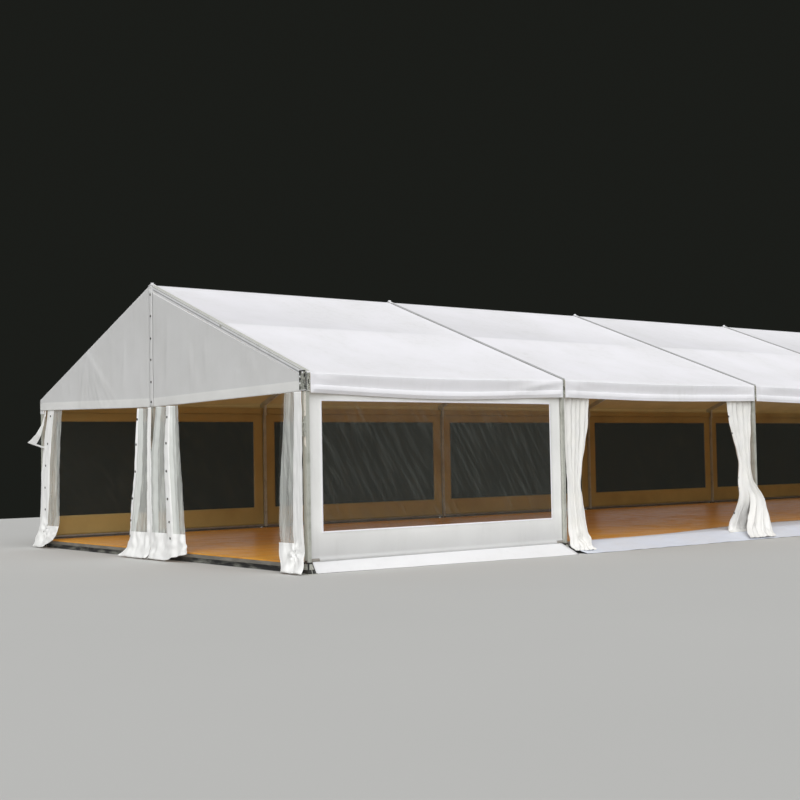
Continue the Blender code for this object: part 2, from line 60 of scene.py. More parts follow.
FRAME_X = [sum(corner.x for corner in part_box(f"rafters_{i + 1}")) / 2 for i in range(BAY_COUNT + 1)]
BAY = FRAME_X[1] - FRAME_X[0]
HALF_LENGTH = FRAME_X[-1]
HALF_SPAN = abs(LEG_LOW.y + LEG_HIGH.y) / 2
LEG_WIDTH = RAFTERS_HIGH.x - RAFTERS_LOW.x
HALF_LEG = LEG_WIDTH / 2
RIDGE_HEIGHT = RAFTERS_HIGH.z
LEG_TOP = RAFTERS_LOW.z
VALANCE_OUT = ROOF_HIGH.y
VALANCE_BOTTOM = ROOF_LOW.z
FLOOR_TOP = FLOOR_HIGH.z
OPEN_FRONT_BAYS = range(1, BAY_COUNT - 1)
GABLES = ((-1, "near"), (1, "far"))

# Sizes that the frame's boxes don't give
EAVES_HEIGHT = 2.85
LEG_DEPTH = 0.10
POST_DEPTH = 0.10
RAFTER_DEPTH = 0.10
BRACKET_DEPTH = 0.15
FILM_LAP = 0.03
RAIL_RADIUS = 0.024
RAIL_HEIGHT = 0.185
RAIL_SIDES = 20
GAP = 0.0005

SLOPE = math.atan2(RIDGE_HEIGHT - EAVES_HEIGHT, HALF_SPAN)
WALL_LENGTH = BAY - LEG_WIDTH
WINDOW_LOW = FILM_LOW.z + FILM_LAP
WINDOW_HIGH = FILM_HIGH.z - FILM_LAP
WINDOW_MARGIN = FILM_LOW.x + FILM_LAP - (FRAME_X[0] + HALF_LEG)

# Fabric thicknesses
COVER_THICK = 0.002
WALL_THICK = 0.0015
FILM_THICK = 0.001


def by_bay(end, inner):
    """A value for each bay: end for the first and the last, inner for those between."""
    return [end] + [inner] * (BAY_COUNT - 2) + [end]


# Roof covers and their valances
ROOF_SINK = 0.012
WELD_BAND = 0.05
WELD_STEP = 0.0015
WELD_EDGE = 0.004
ROOF_SAG = 0.075
ON_PURLIN = 0.035
MID_HEIGHT = (EAVES_HEIGHT + RIDGE_HEIGHT) / 2
EAVES_FOLD_RADIUS = 0.025
VALANCE_LEAN = 0.045
VALANCE_LEAN_START = 0.65
VALANCE_SAG = by_bay(0.030, 0.022)
HEM_TOP = 2.634
HEM_LOW = 2.572
HEM_BULGE = 0.024
HEM_TUCK = by_bay(0.036, 0.014)
HEM_SAG = by_bay(0.032, 0.008)
VALANCE_ROWS = 42
FOLD_ROWS = 6
SLOPE_ROWS = 47
COVER_COLUMNS = 52

# Looks
ROOF_GLOW = 0.06
CURTAIN_GLOW = 0.07
GLOW_COLOUR = (1.0, 0.68, 0.30, 1.0)
DAYLIGHT = (1, 1, 1, 1)
FILM_SLANT = math.radians(-32)
SCRIM_SPACING = 0.0016
SCRIM_DEPTH = 0.00008


# Colours

def srgb(red, green, blue):
    """Linear colour of an sRGB one, each part from 0 to 255."""
    parts = [v / 255 for v in (red, green, blue)]
    return tuple(v / 12.92 if v <= 0.04045 else ((v + 0.055) / 1.055) ** 2.4 for v in parts) + (1.0,)


WHITE = srgb(246, 245, 250)
OFF_WHITE = srgb(229, 229, 229)
GREY_WHITE = srgb(214, 214, 212)
WALL_WHITE = srgb(243, 243, 241)
HEM_WHITE = srgb(245, 245, 243)
DULL_WHITE = srgb(160, 160, 163)
LINING = srgb(194, 173, 114)
LINING_DARK = srgb(172, 152, 98)
LILAC_WHITE = srgb(221, 227, 240)
METAL = srgb(202, 203, 195)
METAL_DARK = srgb(160, 161, 150)
PALE_METAL = srgb(246, 246, 248)
PALE_METAL_DARK = srgb(222, 222, 222)
FACING_METAL = srgb(196, 197, 187)
FACING_METAL_DARK = srgb(178, 179, 169)
TRACK_METAL = srgb(190, 190, 192)
TRACK_METAL_DARK = srgb(160, 160, 159)
RAIL_METAL = srgb(158, 153, 145)
RAIL_METAL_DARK = srgb(114, 109, 102)
EDGING_GREY = srgb(120, 116, 108)
EDGING_WORN = srgb(156, 151, 141)
BRACKET_LIGHT = srgb(222, 224, 214)
BRACKET_DARK = srgb(92, 94, 84)
FOOT_STEEL = srgb(74, 74, 69)
HOLE_BLACK = srgb(16, 16, 15)
DIRT = srgb(150, 146, 132)
RUST = srgb(120, 74, 44)
WOOD_LIGHT = srgb(244, 178, 68)
WOOD_DARK = srgb(210, 138, 48)
CLOTH_WHITE = srgb(238, 236, 230)
STRAP_BEIGE = srgb(244, 238, 228)
NEAR_BLACK = srgb(42, 42, 42)
FILM_GREY = srgb(176, 182, 176)
GATHERED_GREY = srgb(226, 229, 225)
SKIRT_WHITE = srgb(236, 236, 238)


# Materials

class Finish:
    """A node material being put together, with short calls for the nodes that these finishes share."""

    def __init__(self, name, roughness=0.5, metallic=0.0, specular=0.5):
        self.material = bpy.data.materials.new(name)
        self.material.use_nodes = True
        self.nodes = self.material.node_tree.nodes
        self.links = self.material.node_tree.links
        self.shader = self.nodes["Principled BSDF"]
        self.shader.inputs["Roughness"].default_value = roughness
        self.shader.inputs["Metallic"].default_value = metallic
        self.shader.inputs["Specular IOR Level"].default_value = specular
        self.place = self.nodes.new("ShaderNodeTexCoord").outputs["Object"]

    def stretched(self, scale, turn):
        """Places on the object, stretched along axes that are turned about Y."""
        mapping = self.nodes.new("ShaderNodeMapping")
        mapping.vector_type = "TEXTURE"
        mapping.inputs["Scale"].default_value = [1 / part for part in scale]
        mapping.inputs["Rotation"].default_value = (0, turn, 0)
        self.links.new(self.place, mapping.inputs["Vector"])
        return mapping.outputs["Vector"]

    def along(self, axis):
        """Place along an axis, X, Y or Z, in metres."""
        parts = self.nodes.new("ShaderNodeSeparateXYZ")
        self.links.new(self.place, parts.inputs["Vector"])
        return parts.outputs[axis]

    def rise(self, low, high):
        """From 0 at one height to 1 at another, in metres above the ground."""
        return self.band(self.along("Z"), low, high)

    def along_bay(self, start, end):
        """From 0 at one share of each bay's length to 1 at another."""
        bays = self.calculate("DIVIDE", self.calculate("SUBTRACT", self.along("X"), FRAME_X[0]), BAY)
        return self.band(self.calculate("FRACT", bays, 0), start, end)

    def noise(self, scale, stretch=(1, 1, 1), detail=4, roughness=0.55, distortion=0, turn=0):
        """A noise pattern, from 0 to 1, stretched along the axes."""
        texture = self.nodes.new("ShaderNodeTexNoise")
        texture.inputs["Scale"].default_value = scale
        texture.inputs["Detail"].default_value = detail
        texture.inputs["Roughness"].default_value = roughness
        texture.inputs["Distortion"].default_value = distortion
        self.links.new(self.stretched(stretch, turn), texture.inputs["Vector"])
        return texture.outputs["Fac"]

    def weave(self, spacing, axis):
        """Fine parallel threads across an axis."""
        texture = self.nodes.new("ShaderNodeTexWave")
        texture.bands_direction = axis
        texture.inputs["Scale"].default_value = 0.314 / spacing
        texture.inputs["Distortion"].default_value = 0.4
        self.links.new(self.place, texture.inputs["Vector"])
        return texture.outputs["Fac"]

    def band(self, value, low, high):
        """Stretches the part of a pattern between low and high to the full range, 0 to 1."""
        ranged = self.nodes.new("ShaderNodeMapRange")
        ranged.inputs["From Min"].default_value = low
        ranged.inputs["From Max"].default_value = high
        self.links.new(value, ranged.inputs["Value"])
        return ranged.outputs["Result"]

    def calculate(self, operation, first, second):
        """The result of a maths node on two values or sockets."""
        maths = self.nodes.new("ShaderNodeMath")
        maths.operation = operation
        for socket, value in zip(maths.inputs, (first, second)):
            self.feed(value, socket)
        return maths.outputs["Value"]

    def blend(self, share, first, second):
        """Colour from first to second as share goes from 0 to 1."""
        mix = self.nodes.new("ShaderNodeMix")
        mix.data_type = "RGBA"
        self.feed(share, mix.inputs["Factor"])
        self.feed(first, mix.inputs[6])
        self.feed(second, mix.inputs[7])
        return mix.outputs[2]

    def feed(self, value, socket):
        """Links a socket to another one, or sets it to a plain value."""
        if isinstance(value, bpy.types.NodeSocket):
            self.links.new(value, socket)
        else:
            socket.default_value = value

    def bump(self, heights):
        """Bump from (pattern, depth in metres) pairs, one over the other."""
        normal = None
        for pattern, depth in heights:
            bump = self.nodes.new("ShaderNodeBump")
            bump.inputs["Distance"].default_value = depth
            self.links.new(pattern, bump.inputs["Height"])
            if normal is not None:
                self.links.new(normal, bump.inputs["Normal"])
            normal = bump.outputs["Normal"]
        self.links.new(normal, self.shader.inputs["Normal"])

    def glow(self, colour, strength):
        """Daylight that comes through the sheet."""
        self.shader.inputs["Emission Color"].default_value = colour
        self.shader.inputs["Emission Strength"].default_value = strength

    def set(self, **values):
        """Sets or links the shader's inputs, and gives the finished material."""
        for name, value in values.items():
            self.feed(value, self.shader.inputs[name.replace("_", " ").title()])
        return self.material


def pvc(name, clean, worn, streak_depth=0.35, duller=(), glow=0, fades=None):
    """Coated PVC: rain streaks down it, faint clouds of dirt, and the scrim's weave.

    duller lists where it greys: by what share, and the heights between which it sets in.
    fades gives the shares of a bay's length between which those greys go.
    glow is how brightly daylight comes through it.
    """
    finish = Finish(name)
    finish.glow(DAYLIGHT, glow)
    clouds = finish.band(finish.noise(0.9, detail=6), 0.35, 0.75)
    streaks = finish.band(finish.noise(9, stretch=(1, 1, 0.08), detail=3), 0.5, 0.85)
    worn_share = finish.calculate("MULTIPLY", streaks, streak_depth)
    colour = finish.blend(finish.calculate("MULTIPLY", clouds, 0.5), clean, worn)
    colour = finish.blend(finish.calculate("MULTIPLY", worn_share, clouds), colour, DIRT)
    for share, *heights in duller:
        for low, high in heights:
            share = finish.calculate("MULTIPLY", share, finish.rise(low, high))
        if fades:
            share = finish.calculate("MULTIPLY", share, finish.along_bay(*fades))
        colour = finish.blend(share, colour, DULL_WHITE)
    gloss = finish.noise(6, detail=3)
    finish.bump([
        (finish.weave(SCRIM_SPACING, "X"), SCRIM_DEPTH),
        (finish.weave(SCRIM_SPACING, "Z"), SCRIM_DEPTH),
        (finish.noise(14, detail=3), 0.0008),
    ])
    # The node's third value stays at its own 0.5
    return finish.set(base_color=colour, roughness=finish.calculate("MULTIPLY_ADD", gloss, 0.25))


def make_materials():
    """Every material, by the name of its look."""
    dull_roof = (0.18, (MID_HEIGHT, MID_HEIGHT + 0.02), (RIDGE_HEIGHT + 0.30, MID_HEIGHT))
    dull_wall = (0.50, (WINDOW_LOW + 0.1, RAIL_HEIGHT))
    return {
        "roof": pvc("roof_pvc", WHITE, OFF_WHITE, 0.18, [dull_roof], fades=(1.0, 0.35)),
        "gable": pvc("gable_pvc", OFF_WHITE, GREY_WHITE, 0.12),
        "wall": pvc("wall_pvc", WALL_WHITE, GREY_WHITE, 0.18, [dull_wall]),
        "gable_hem": pvc("gable_hem_pvc", HEM_WHITE, GREY_WHITE, 0.1),
        "curtain": pvc("curtain_pvc", WALL_WHITE, OFF_WHITE, 0.10, glow=CURTAIN_GLOW),
        "weld": pvc("weld_pvc", WHITE, OFF_WHITE, 0.1),
        "skirt": pvc("skirt_pvc", SKIRT_WHITE, OFF_WHITE, 0.15),
        "strip": pvc("strip_pvc", LILAC_WHITE, OFF_WHITE, 0.2),
        "lining": lining_finish("lining_pvc", 0),
        "roof_lining": lining_finish("roof_lining_pvc", ROOF_GLOW),
        "film": film_finish("clear_film", FILM_GREY, 0.012, 0.016, 0.05, FILM_SLANT),
        "veil_film": film_finish("veil_film", GATHERED_GREY, 0.30, 0.10, 0.44, 0),
        "gathered_film": film_finish("gathered_film", GATHERED_GREY, 0.88, 0.05, 0.07, 0),
        "aluminium": aluminium_finish("aluminium", METAL, METAL_DARK, 0.45),
        "pale_aluminium": aluminium_finish("pale_aluminium", PALE_METAL, PALE_METAL_DARK, 0.15),
        "facing": aluminium_finish("facing_aluminium", FACING_METAL, FACING_METAL_DARK, 0.15),
        "track": aluminium_finish("track_aluminium", TRACK_METAL, TRACK_METAL_DARK, 0.25),
        "rail": aluminium_finish("rail_aluminium", RAIL_METAL, RAIL_METAL_DARK, 0.25),
        "edging": dark_finish("floor_edging", EDGING_GREY, EDGING_WORN),
        "steel": steel_finish("galvanised_steel", METAL, METAL_DARK, 0.7),
        "bracket": steel_finish("bracket_steel", BRACKET_LIGHT, BRACKET_DARK, 0.66),
        "foot": steel_finish("foot_steel", FOOT_STEEL, NEAR_BLACK, 0.64),
        "board": board_finish(),
        "dark": dark_finish("dark_edge", NEAR_BLACK, METAL_DARK),
        "hole": dark_finish("hole", HOLE_BLACK, NEAR_BLACK),
        "cloth": cloth_finish(),
        "strap": strap_finish(),
    }


def lining_finish(name, glow):
    """The tan inner face of the PVC. glow is how brightly daylight comes through it."""
    finish = Finish(name, roughness=0.6)
    finish.glow(GLOW_COLOUR, glow)
    clouds = finish.band(finish.noise(1.2, detail=5), 0.3, 0.75)
    finish.bump([(finish.weave(SCRIM_SPACING, "X"), SCRIM_DEPTH), (finish.noise(10, detail=3), 0.0008)])
    return finish.set(base_color=finish.blend(clouds, LINING, LINING_DARK))


def film_finish(name, tint, least, haze_share, mark_share, slant):
    """Clear PVC film: wipe marks or creases at a slant, and haze, over a see-through sheet.

    least is how much it covers where it is clean, and the shares are what haze and marks add.
    """
    finish = Finish(name, roughness=0.12)
    marks = finish.noise(16, stretch=(1, 1, 0.09), detail=6, distortion=0.2, turn=slant)
    marks = finish.band(marks, 0.48, 0.8)
    haze = finish.noise(0.7, detail=4)
    cover = finish.calculate("MULTIPLY", marks, mark_share)
    cover = finish.calculate("ADD", cover, finish.calculate("MULTIPLY", haze, haze_share))
    cover = finish.calculate("ADD", cover, least)
    finish.bump([(finish.noise(3, detail=2), 0.004)])
    return finish.set(base_color=tint, alpha=cover)


def aluminium_finish(name, clean, worn, metallic):
    """Mill-finished aluminium: brushed along its length, dulled and spotted."""
    finish = Finish(name, roughness=0.45, metallic=metallic)
    brushed = finish.noise(60, stretch=(0.05, 0.05, 1), detail=3)
    spots = finish.band(finish.noise(5, detail=8, roughness=0.7), 0.5, 0.8)
    colour = finish.blend(spots, clean, worn)
    finish.bump([(brushed, 0.0002)])
    return finish.set(base_color=colour, roughness=finish.band(brushed, -0.9, 1.4))


def steel_finish(name, light, dark, clean_share):
    """Galvanised steel: spangled grey with rust where it is knocked."""
    finish = Finish(name, roughness=0.55, metallic=0.3)
    spangle = finish.band(finish.noise(55, detail=3), 0.3, 0.7)
    rust = finish.band(finish.noise(16, detail=6, roughness=0.7), clean_share - 0.08, clean_share + 0.06)
    grey = finish.blend(spangle, light, dark)
    finish.bump([(spangle, 0.0003), (rust, 0.0006)])
    return finish.set(base_color=finish.blend(rust, grey, RUST))


def board_finish():
    """Laminate boards: long grain, each board its own shade, scuffed."""
    finish = Finish("floor_boards", roughness=0.42, specular=0.25)
    geometry = finish.nodes.new("ShaderNodeNewGeometry")
    shade = geometry.outputs["Random Per Island"]
    grain = finish.noise(16, stretch=(0.07, 1, 1), detail=8, roughness=0.65, distortion=0.6)
    mixed = finish.calculate("ADD", finish.calculate("MULTIPLY", grain, 0.7),
                             finish.calculate("MULTIPLY", shade, 0.35))
    scuffs = finish.band(finish.noise(3, detail=8, roughness=0.7), 0.45, 0.8)
    colour = finish.blend(mixed, WOOD_DARK, WOOD_LIGHT)
    finish.bump([(grain, 0.0006)])
    return finish.set(base_color=colour, roughness=finish.band(scuffs, -0.9, 2.2))


def dark_finish(name, dark, worn):
    """Painted or rubber edges and holes, worn along their length."""
    finish = Finish(name, roughness=0.7)
    wear = finish.band(finish.noise(12, stretch=(0.2, 0.2, 1), detail=6), 0.45, 0.8)
    finish.bump([(wear, 0.0008)])
    return finish.set(base_color=finish.blend(wear, dark, worn))


def cloth_finish():
    """Plain woven curtain cloth, crinkled and a little see-through."""
    finish = Finish("curtain_cloth", roughness=0.85, specular=0.2)
    clouds = finish.noise(4, detail=6)
    finish.bump([
        (finish.weave(0.0012, "X"), 0.0002),
        (finish.weave(0.0012, "Z"), 0.0002),
        (finish.noise(22, stretch=(1, 1, 0.35), detail=5, distortion=1.0), 0.005),
    ])
    return finish.set(base_color=finish.blend(clouds, CLOTH_WHITE, OFF_WHITE))


def strap_finish():
    """Pale webbing, a little soiled."""
    finish = Finish("strap_webbing", roughness=0.8)
    wear = finish.band(finish.noise(20, detail=5), 0.55, 0.95)
    finish.bump([(finish.weave(0.003, "Z"), 0.0006)])
    return finish.set(base_color=finish.blend(wear, STRAP_BEIGE, DIRT))


LOOKS = make_materials()


# Meshes

def new_piece(name, points, faces, looks, slots=None, closed=False, sharp_angle=None):
    """A mesh object that rides on the frame. slots gives each face's place in looks."""
    mesh = bpy.data.meshes.new(name)
    mesh.from_pydata(np.asarray(points, float).tolist(), [], [tuple(map(int, face)) for face in faces])
    for look in looks:
        mesh.materials.append(LOOKS[look])
    if slots is not None:
        mesh.polygons.foreach_set("material_index", np.asarray(slots, np.int32))
    if closed:
        turn_faces_out(mesh)
    mesh.shade_smooth()
    if sharp_angle:
        mesh.set_sharp_from_angle(angle=sharp_angle)
    obj = bpy.data.objects.new(name, mesh)
    bpy.context.scene.collection.objects.link(obj)
    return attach(obj, "root")


def turn_faces_out(mesh):
    """Makes a closed mesh's faces look outwards."""
    shape = bmesh.new()
    shape.from_mesh(mesh)
    bmesh.ops.recalc_face_normals(shape, faces=shape.faces)
    shape.to_mesh(mesh)
    shape.free()


def grid_quads(rows, columns, keep=None, wrap=False):
    """Faces of a grid of points that is stored row by row, as an array of four indices each."""
    row, column = np.meshgrid(np.arange(rows - 1), np.arange(columns if wrap else columns - 1), indexing="ij")
    if keep is not None:
        row, column = row[keep], column[keep]
    row, column = row.ravel(), column.ravel()
    after = (column + 1) % columns
    return np.stack([row * columns + column, row * columns + after,
                     (row + 1) * columns + after, (row + 1) * columns + column], axis=1)


def sheet_piece(name, points, looks, thickness, outward, keep=None, slots=None, inner_look=None):
    """A sheet of fabric from a grid of points, thickened inwards from the face that looks outward.

    slots gives each kept face's place in looks. inner_look is the inner face's.
    """
    rows, columns = points.shape[:2]
    quads = grid_quads(rows, columns, keep)
    spots = points.reshape(-1, 3)
    a, b, c, d = (spots[quads[:, i]] for i in range(4))
    if (np.cross(c - a, d - b).sum(0) * np.array(outward)).sum() < 0:
        quads = quads[:, ::-1]
    used, index = np.unique(quads, return_inverse=True)
    looks = looks + ([inner_look] * len(looks) if inner_look else [])
    obj = new_piece(name, spots[used], index.reshape(quads.shape), looks, slots)
    solid = obj.modifiers.new("thickness", "SOLIDIFY")
    solid.thickness = thickness
    solid.offset = -1
    solid.material_offset = len(looks) // 2 if inner_look else 0
    return obj


def ring(centre, aside, up, radius, sides):
    """Points round a centre, in the plane of aside and up."""
    turns = [2 * math.pi * k / sides for k in range(sides)]
    return [centre + radius * (math.cos(a) * aside + math.sin(a) * up) for a in turns]


def across_x(x, y0, y1, z0, z1):
    """A rectangle on a face across X."""
    return [(x, y0, z0), (x, y1, z0), (x, y1, z1), (x, y0, z1)]


class Bits:
    """Points and faces of small hard pieces that are put together into one object."""

    def __init__(self):
        self.points, self.faces, self.slots = [], [], []

    def add(self, points, faces, slot=0):
        start = len(self.points)
        self.points.extend(tuple(map(float, p)) for p in points)
        self.faces.extend(tuple(int(i) + start for i in face) for face in faces)
        self.slots.extend([slot] * len(faces))

    def prism(self, outline, direction, slot=0):
        """A flat outline of points, drawn out along a direction and closed."""
        near = [Vector(p) for p in outline]
        far = [p + Vector(direction) for p in near]
        count = len(near)
        sides = [(i, (i + 1) % count, (i + 1) % count + count, i + count) for i in range(count)]
        self.add(near + far, [tuple(range(count)), tuple(range(count, 2 * count)), *sides], slot)

    def box(self, low, high, slot=0):
        (x0, y0, z0), (x1, y1, z1) = low, high
        self.prism([(x0, y0, z0), (x1, y0, z0), (x1, y1, z0), (x0, y1, z0)], (0, 0, z1 - z0), slot)

    def tube(self, path, radius, sides=12):
        """A round bar with closed ends along a path of points."""
        path = [Vector(p) for p in path]
        rings = []
        for i, point in enumerate(path):
            ahead = (path[min(i + 1, len(path) - 1)] - path[max(i - 1, 0)]).normalized()
            aside = ahead.cross(Vector((0, 0, 1)) if abs(ahead.z) < 0.9 else Vector((1, 0, 0))).normalized()
            rings.extend(ring(point, aside, aside.cross(ahead), radius, sides))
        faces = [tuple(q) for q in grid_quads(len(path), sides, wrap=True)]
        last = (len(path) - 1) * sides
        faces += [tuple(range(sides)), tuple(range(last, last + sides))]
        self.add(rings, faces)

    def disc(self, centre, axis, radius, thick, sides=16, slot=0):
        """A low round head with a chamfered rim, standing on centre and facing along axis."""
        axis = Vector(axis).normalized()
        aside = axis.orthogonal().normalized()
        rings = []
        for share, rise in ((1, 0), (1, 0.7 * thick), (0.8, thick)):
            rings.extend(ring(Vector(centre) + axis * rise, aside, axis.cross(aside), radius * share, sides))
        faces = [tuple(q) for q in grid_quads(3, sides, wrap=True)]
        faces += [tuple(range(sides)), tuple(range(2 * sides, 3 * sides))]
        self.add(rings, faces, slot)

    def piece(self, name, looks, bevel=None):
        """The finished object, its edges broken where bevel gives their width."""
        obj = new_piece(name, self.points, self.faces, looks, self.slots, True, math.radians(35))
        if bevel:
            edge = obj.modifiers.new("edge", "BEVEL")
            edge.width = bevel
            edge.segments = 2
            edge.limit_method = "ANGLE"
            edge.angle_limit = math.radians(50)
        return obj


def smooth_step(value):
    """From 0 to 1 as value goes from 0 to 1, level at both ends."""
    value = np.clip(value, 0, 1)
    return value * value * (3 - 2 * value)


def ripples(a, b, rng, wavelength, height, count=7):
    """Gentle random waves over points (a, b) of a sheet."""
    total = np.zeros_like(a)
    for _ in range(count):
        angle, phase = rng.uniform(0, math.pi), rng.uniform(0, 2 * math.pi)
        number = 2 * math.pi / (wavelength * rng.uniform(0.7, 1.6))
        total += np.sin(number * (a * math.cos(angle) + b * math.sin(angle)) + phase)
    return total * height / math.sqrt(count)


def folds(a, b, lines):
    """Folds over points (a, b) of a sheet. Each line is (a0, b0, a1, b1, height, width)."""
    total = np.zeros_like(a)
    for a0, b0, a1, b1, height, width in lines:
        along_a, along_b = a1 - a0, b1 - b0
        share = ((a - a0) * along_a + (b - b0) * along_b) / (along_a ** 2 + along_b ** 2)
        share = np.clip(share, 0, 1)
        off = np.hypot(a - a0 - share * along_a, b - b0 - share * along_b)
        total += height * np.exp(-(off / width) ** 2) * (0.25 + 0.75 * np.sin(np.pi * share))
    return total


def roof_line(y, below=0.0):
    """Height of the rafters' top face at y, or of a face below it, measured square to the slope."""
    return RIDGE_HEIGHT - np.abs(y) * math.tan(SLOPE) - below / math.cos(SLOPE)


# Roof

def cover_section():
    """Half a roof cover's section from the valance's lower edge to the ridge: y, z, normal y, normal z."""
    corner = float(roof_line(VALANCE_OUT, ROOF_SINK))
    turn = math.pi / 2 - SLOPE
    cut = EAVES_FOLD_RADIUS * math.tan(turn / 2)
    rows = [(VALANCE_OUT, z, 1, 0) for z in np.linspace(VALANCE_BOTTOM, corner - cut, VALANCE_ROWS)]
    for angle in np.linspace(0, turn, FOLD_ROWS)[1:]:
        y = VALANCE_OUT - EAVES_FOLD_RADIUS * (1 - math.cos(angle))
        z = corner - cut + EAVES_FOLD_RADIUS * math.sin(angle)
        rows.append((y, z, math.cos(angle), math.sin(angle)))
    for y in np.linspace(rows[-1][0], 0, SLOPE_ROWS)[1:]:
        rows.append((y, float(roof_line(y, ROOF_SINK)), math.sin(SLOPE), math.cos(SLOPE)))
    return np.array(rows)


def cover_columns(start, end):
    """Places along a bay, closer at its welded edges."""
    edge = np.array([0, WELD_EDGE, WELD_BAND, WELD_BAND + WELD_EDGE])
    middle = np.linspace(start + 0.12, end - 0.12, COVER_COLUMNS)
    return np.concatenate([start + edge, middle, (end - edge)[::-1]])


def cover_offsets(x, section, bay, start, end, rng):
    """How far each point of half a cover stands off its plain section, along the normal and downwards."""
    across = np.broadcast_to(x[None, :], (len(section), len(x)))
    y, z = section[:, :1], section[:, 1:2]
    share = (across - start) / (end - start)
    bow = np.sin(np.pi * np.clip(share, 0, 1))
    near_frame = np.minimum(across - start, end - across)
    fold_height = float(roof_line(VALANCE_OUT, ROOF_SINK))
    below = np.clip((fold_height - z) / (fold_height - HEM_TOP), 0, 1)
    is_valance = section[:, 2:3] > 0.999
    half = HALF_SPAN / 2
    from_purlin = np.minimum(y, np.abs(y - half)) - ON_PURLIN
    on_slope = np.clip((VALANCE_OUT - y) / 0.25, 0, 1) * smooth_step(from_purlin / 0.15)
    between = np.where(y > half, (y - half - ON_PURLIN) / (VALANCE_OUT - half - ON_PURLIN),
                       (y - ON_PURLIN) / (half - 2 * ON_PURLIN))
    sag = ROOF_SAG * np.sin(np.pi * np.clip(between, 0, 1)) * bow ** 0.8
    lean = VALANCE_LEAN * smooth_step(near_frame / VALANCE_LEAN_START) * smooth_step(below)
    into_hem = np.clip((z - HEM_LOW) / (HEM_TOP - HEM_LOW), 0, 1)
    tube = HEM_BULGE * np.sqrt(1 - into_hem ** 2)
    tube = tube - HEM_TUCK[bay] * np.clip((HEM_LOW - z) / (HEM_LOW - VALANCE_BOTTOM), 0, 1)
    welds = WELD_STEP * (near_frame < WELD_BAND + 0.002)
    offset = welds - sag * ~is_valance
    offset = offset + is_valance * (tube * smooth_step(near_frame / 0.1) - lean)
    waves = ripples(across, z * 2, rng, 0.5, 0.002)
    hanging = smooth_step((HEM_LOW - z) / 0.05)
    offset = offset + is_valance * (waves * (0.4 + hanging) + valance_folds(across, z, start, end, bay, rng))
    offset = offset + ~is_valance * ripples(across, y, rng, 1.6, 0.0016) * on_slope
    drop = VALANCE_SAG[bay] * bow * smooth_step((y - VALANCE_OUT + 0.5) / 0.5)
    drop = drop + HEM_SAG[bay] * bow ** 2 * below * is_valance
    return offset, drop


def valance_folds(x, z, start, end, bay, rng):
    """Slanting pull marks from a valance's two brackets, stronger at the first bay's far end."""
    top = float(roof_line(VALANCE_OUT, ROOF_SINK))
    lines = []
    for corner, into in ((start, 1), (end, -1)):
        count, depth = (7, 0.012) if (bay, into) == (0, -1) else (4, 0.005)
        for i in range(count):
            reach = 0.22 + 0.16 * i + rng.uniform(-0.03, 0.03)
            lines.append((corner + into * (0.02 + 0.03 * i), top - 0.02, corner + into * reach, HEM_TOP,
                          depth * rng.uniform(0.6, 1.2), 0.028 + 0.006 * i))
    return folds(x, z + 0 * x, lines)


def make_roof_covers():
    """A cover for each bay, with its valances, in one sheet from hem to hem."""
    section = cover_section()
    for bay in range(BAY_COUNT):
        rng = np.random.default_rng(100 + bay)
        start, end = FRAME_X[bay] + HALF_LEG + GAP, FRAME_X[bay + 1] - HALF_LEG - GAP
        x = cover_columns(start, end)
        halves = []
        for side in (-1, 1):
            offset, drop = cover_offsets(x, section, bay, start, end, rng)
            points = np.empty((len(section), len(x), 3))
            points[:, :, 0] = x[None, :]
            points[:, :, 1] = side * (section[:, :1] + section[:, 2:3] * offset)
            points[:, :, 2] = section[:, 1:2] + section[:, 3:4] * offset - drop
            halves.append(points)
        points = np.concatenate([halves[0], halves[1][-2::-1]])
        cover = sheet_piece(f"roof_cover_{bay + 1}", points, ["roof"], COVER_THICK, (0, 0, 1),
                            inner_look="roof_lining")
        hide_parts(f"roof_{bay + 1}")


# Frame metal

GABLE_RAFTERS = ("rafters_1", f"rafters_{BAY_COUNT + 1}")


def dress_frame():
    """Gives the frame's own solids their metal finish."""
    for name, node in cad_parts.items():
        if "leg" in name or "rafters" in name or "purlin" in name or "gable_post" in name:
            for place in node.material_slots:
                place.material = LOOKS["pale_aluminium" if name in GABLE_RAFTERS else "aluminium"]


# Gable sheets

GABLE_FACE = HALF_LENGTH + HALF_LEG
GABLE_SEAM = 0.045
GABLE_HEM = [(-HALF_SPAN + BRACKET_DEPTH / 2, 2.545), (0, 2.50), (HALF_SPAN + BRACKET_DEPTH / 2, 2.62)]
GABLE_HEM_BAND = 0.15
GABLE_BAND_ROWS = 8
GABLE_ROWS = 50
GABLE_COLUMNS = 120
GABLE_PUCKER = 0.11
GABLE_FOLDS = 26
FAN_FOLDS = 8
GABLE_PUCKER_REACH = 0.13


def gable_hem(y):
    """Height of a gable sheet's lower edge."""
    places, heights = zip(*GABLE_HEM)
    return np.interp(y, places, heights)


def gable_half(y_ends, below, columns, rows):
    """Grid of (y, z) over one half of a gable sheet, from its hem up to the rafter."""
    y = np.linspace(*y_ends, columns)[None, :]
    low, high = gable_hem(y), roof_line(y, below)
    in_band = np.linspace(0, 1, GABLE_BAND_ROWS + 1)[:, None]
    lower = low + in_band * np.minimum(GABLE_HEM_BAND, (high - low) * 0.6)
    upper = lower[-1:] + np.linspace(0, 1, rows)[1:, None] * (high - lower[-1:])
    z = np.concatenate([lower, upper])
    return np.broadcast_to(y, z.shape).copy(), z


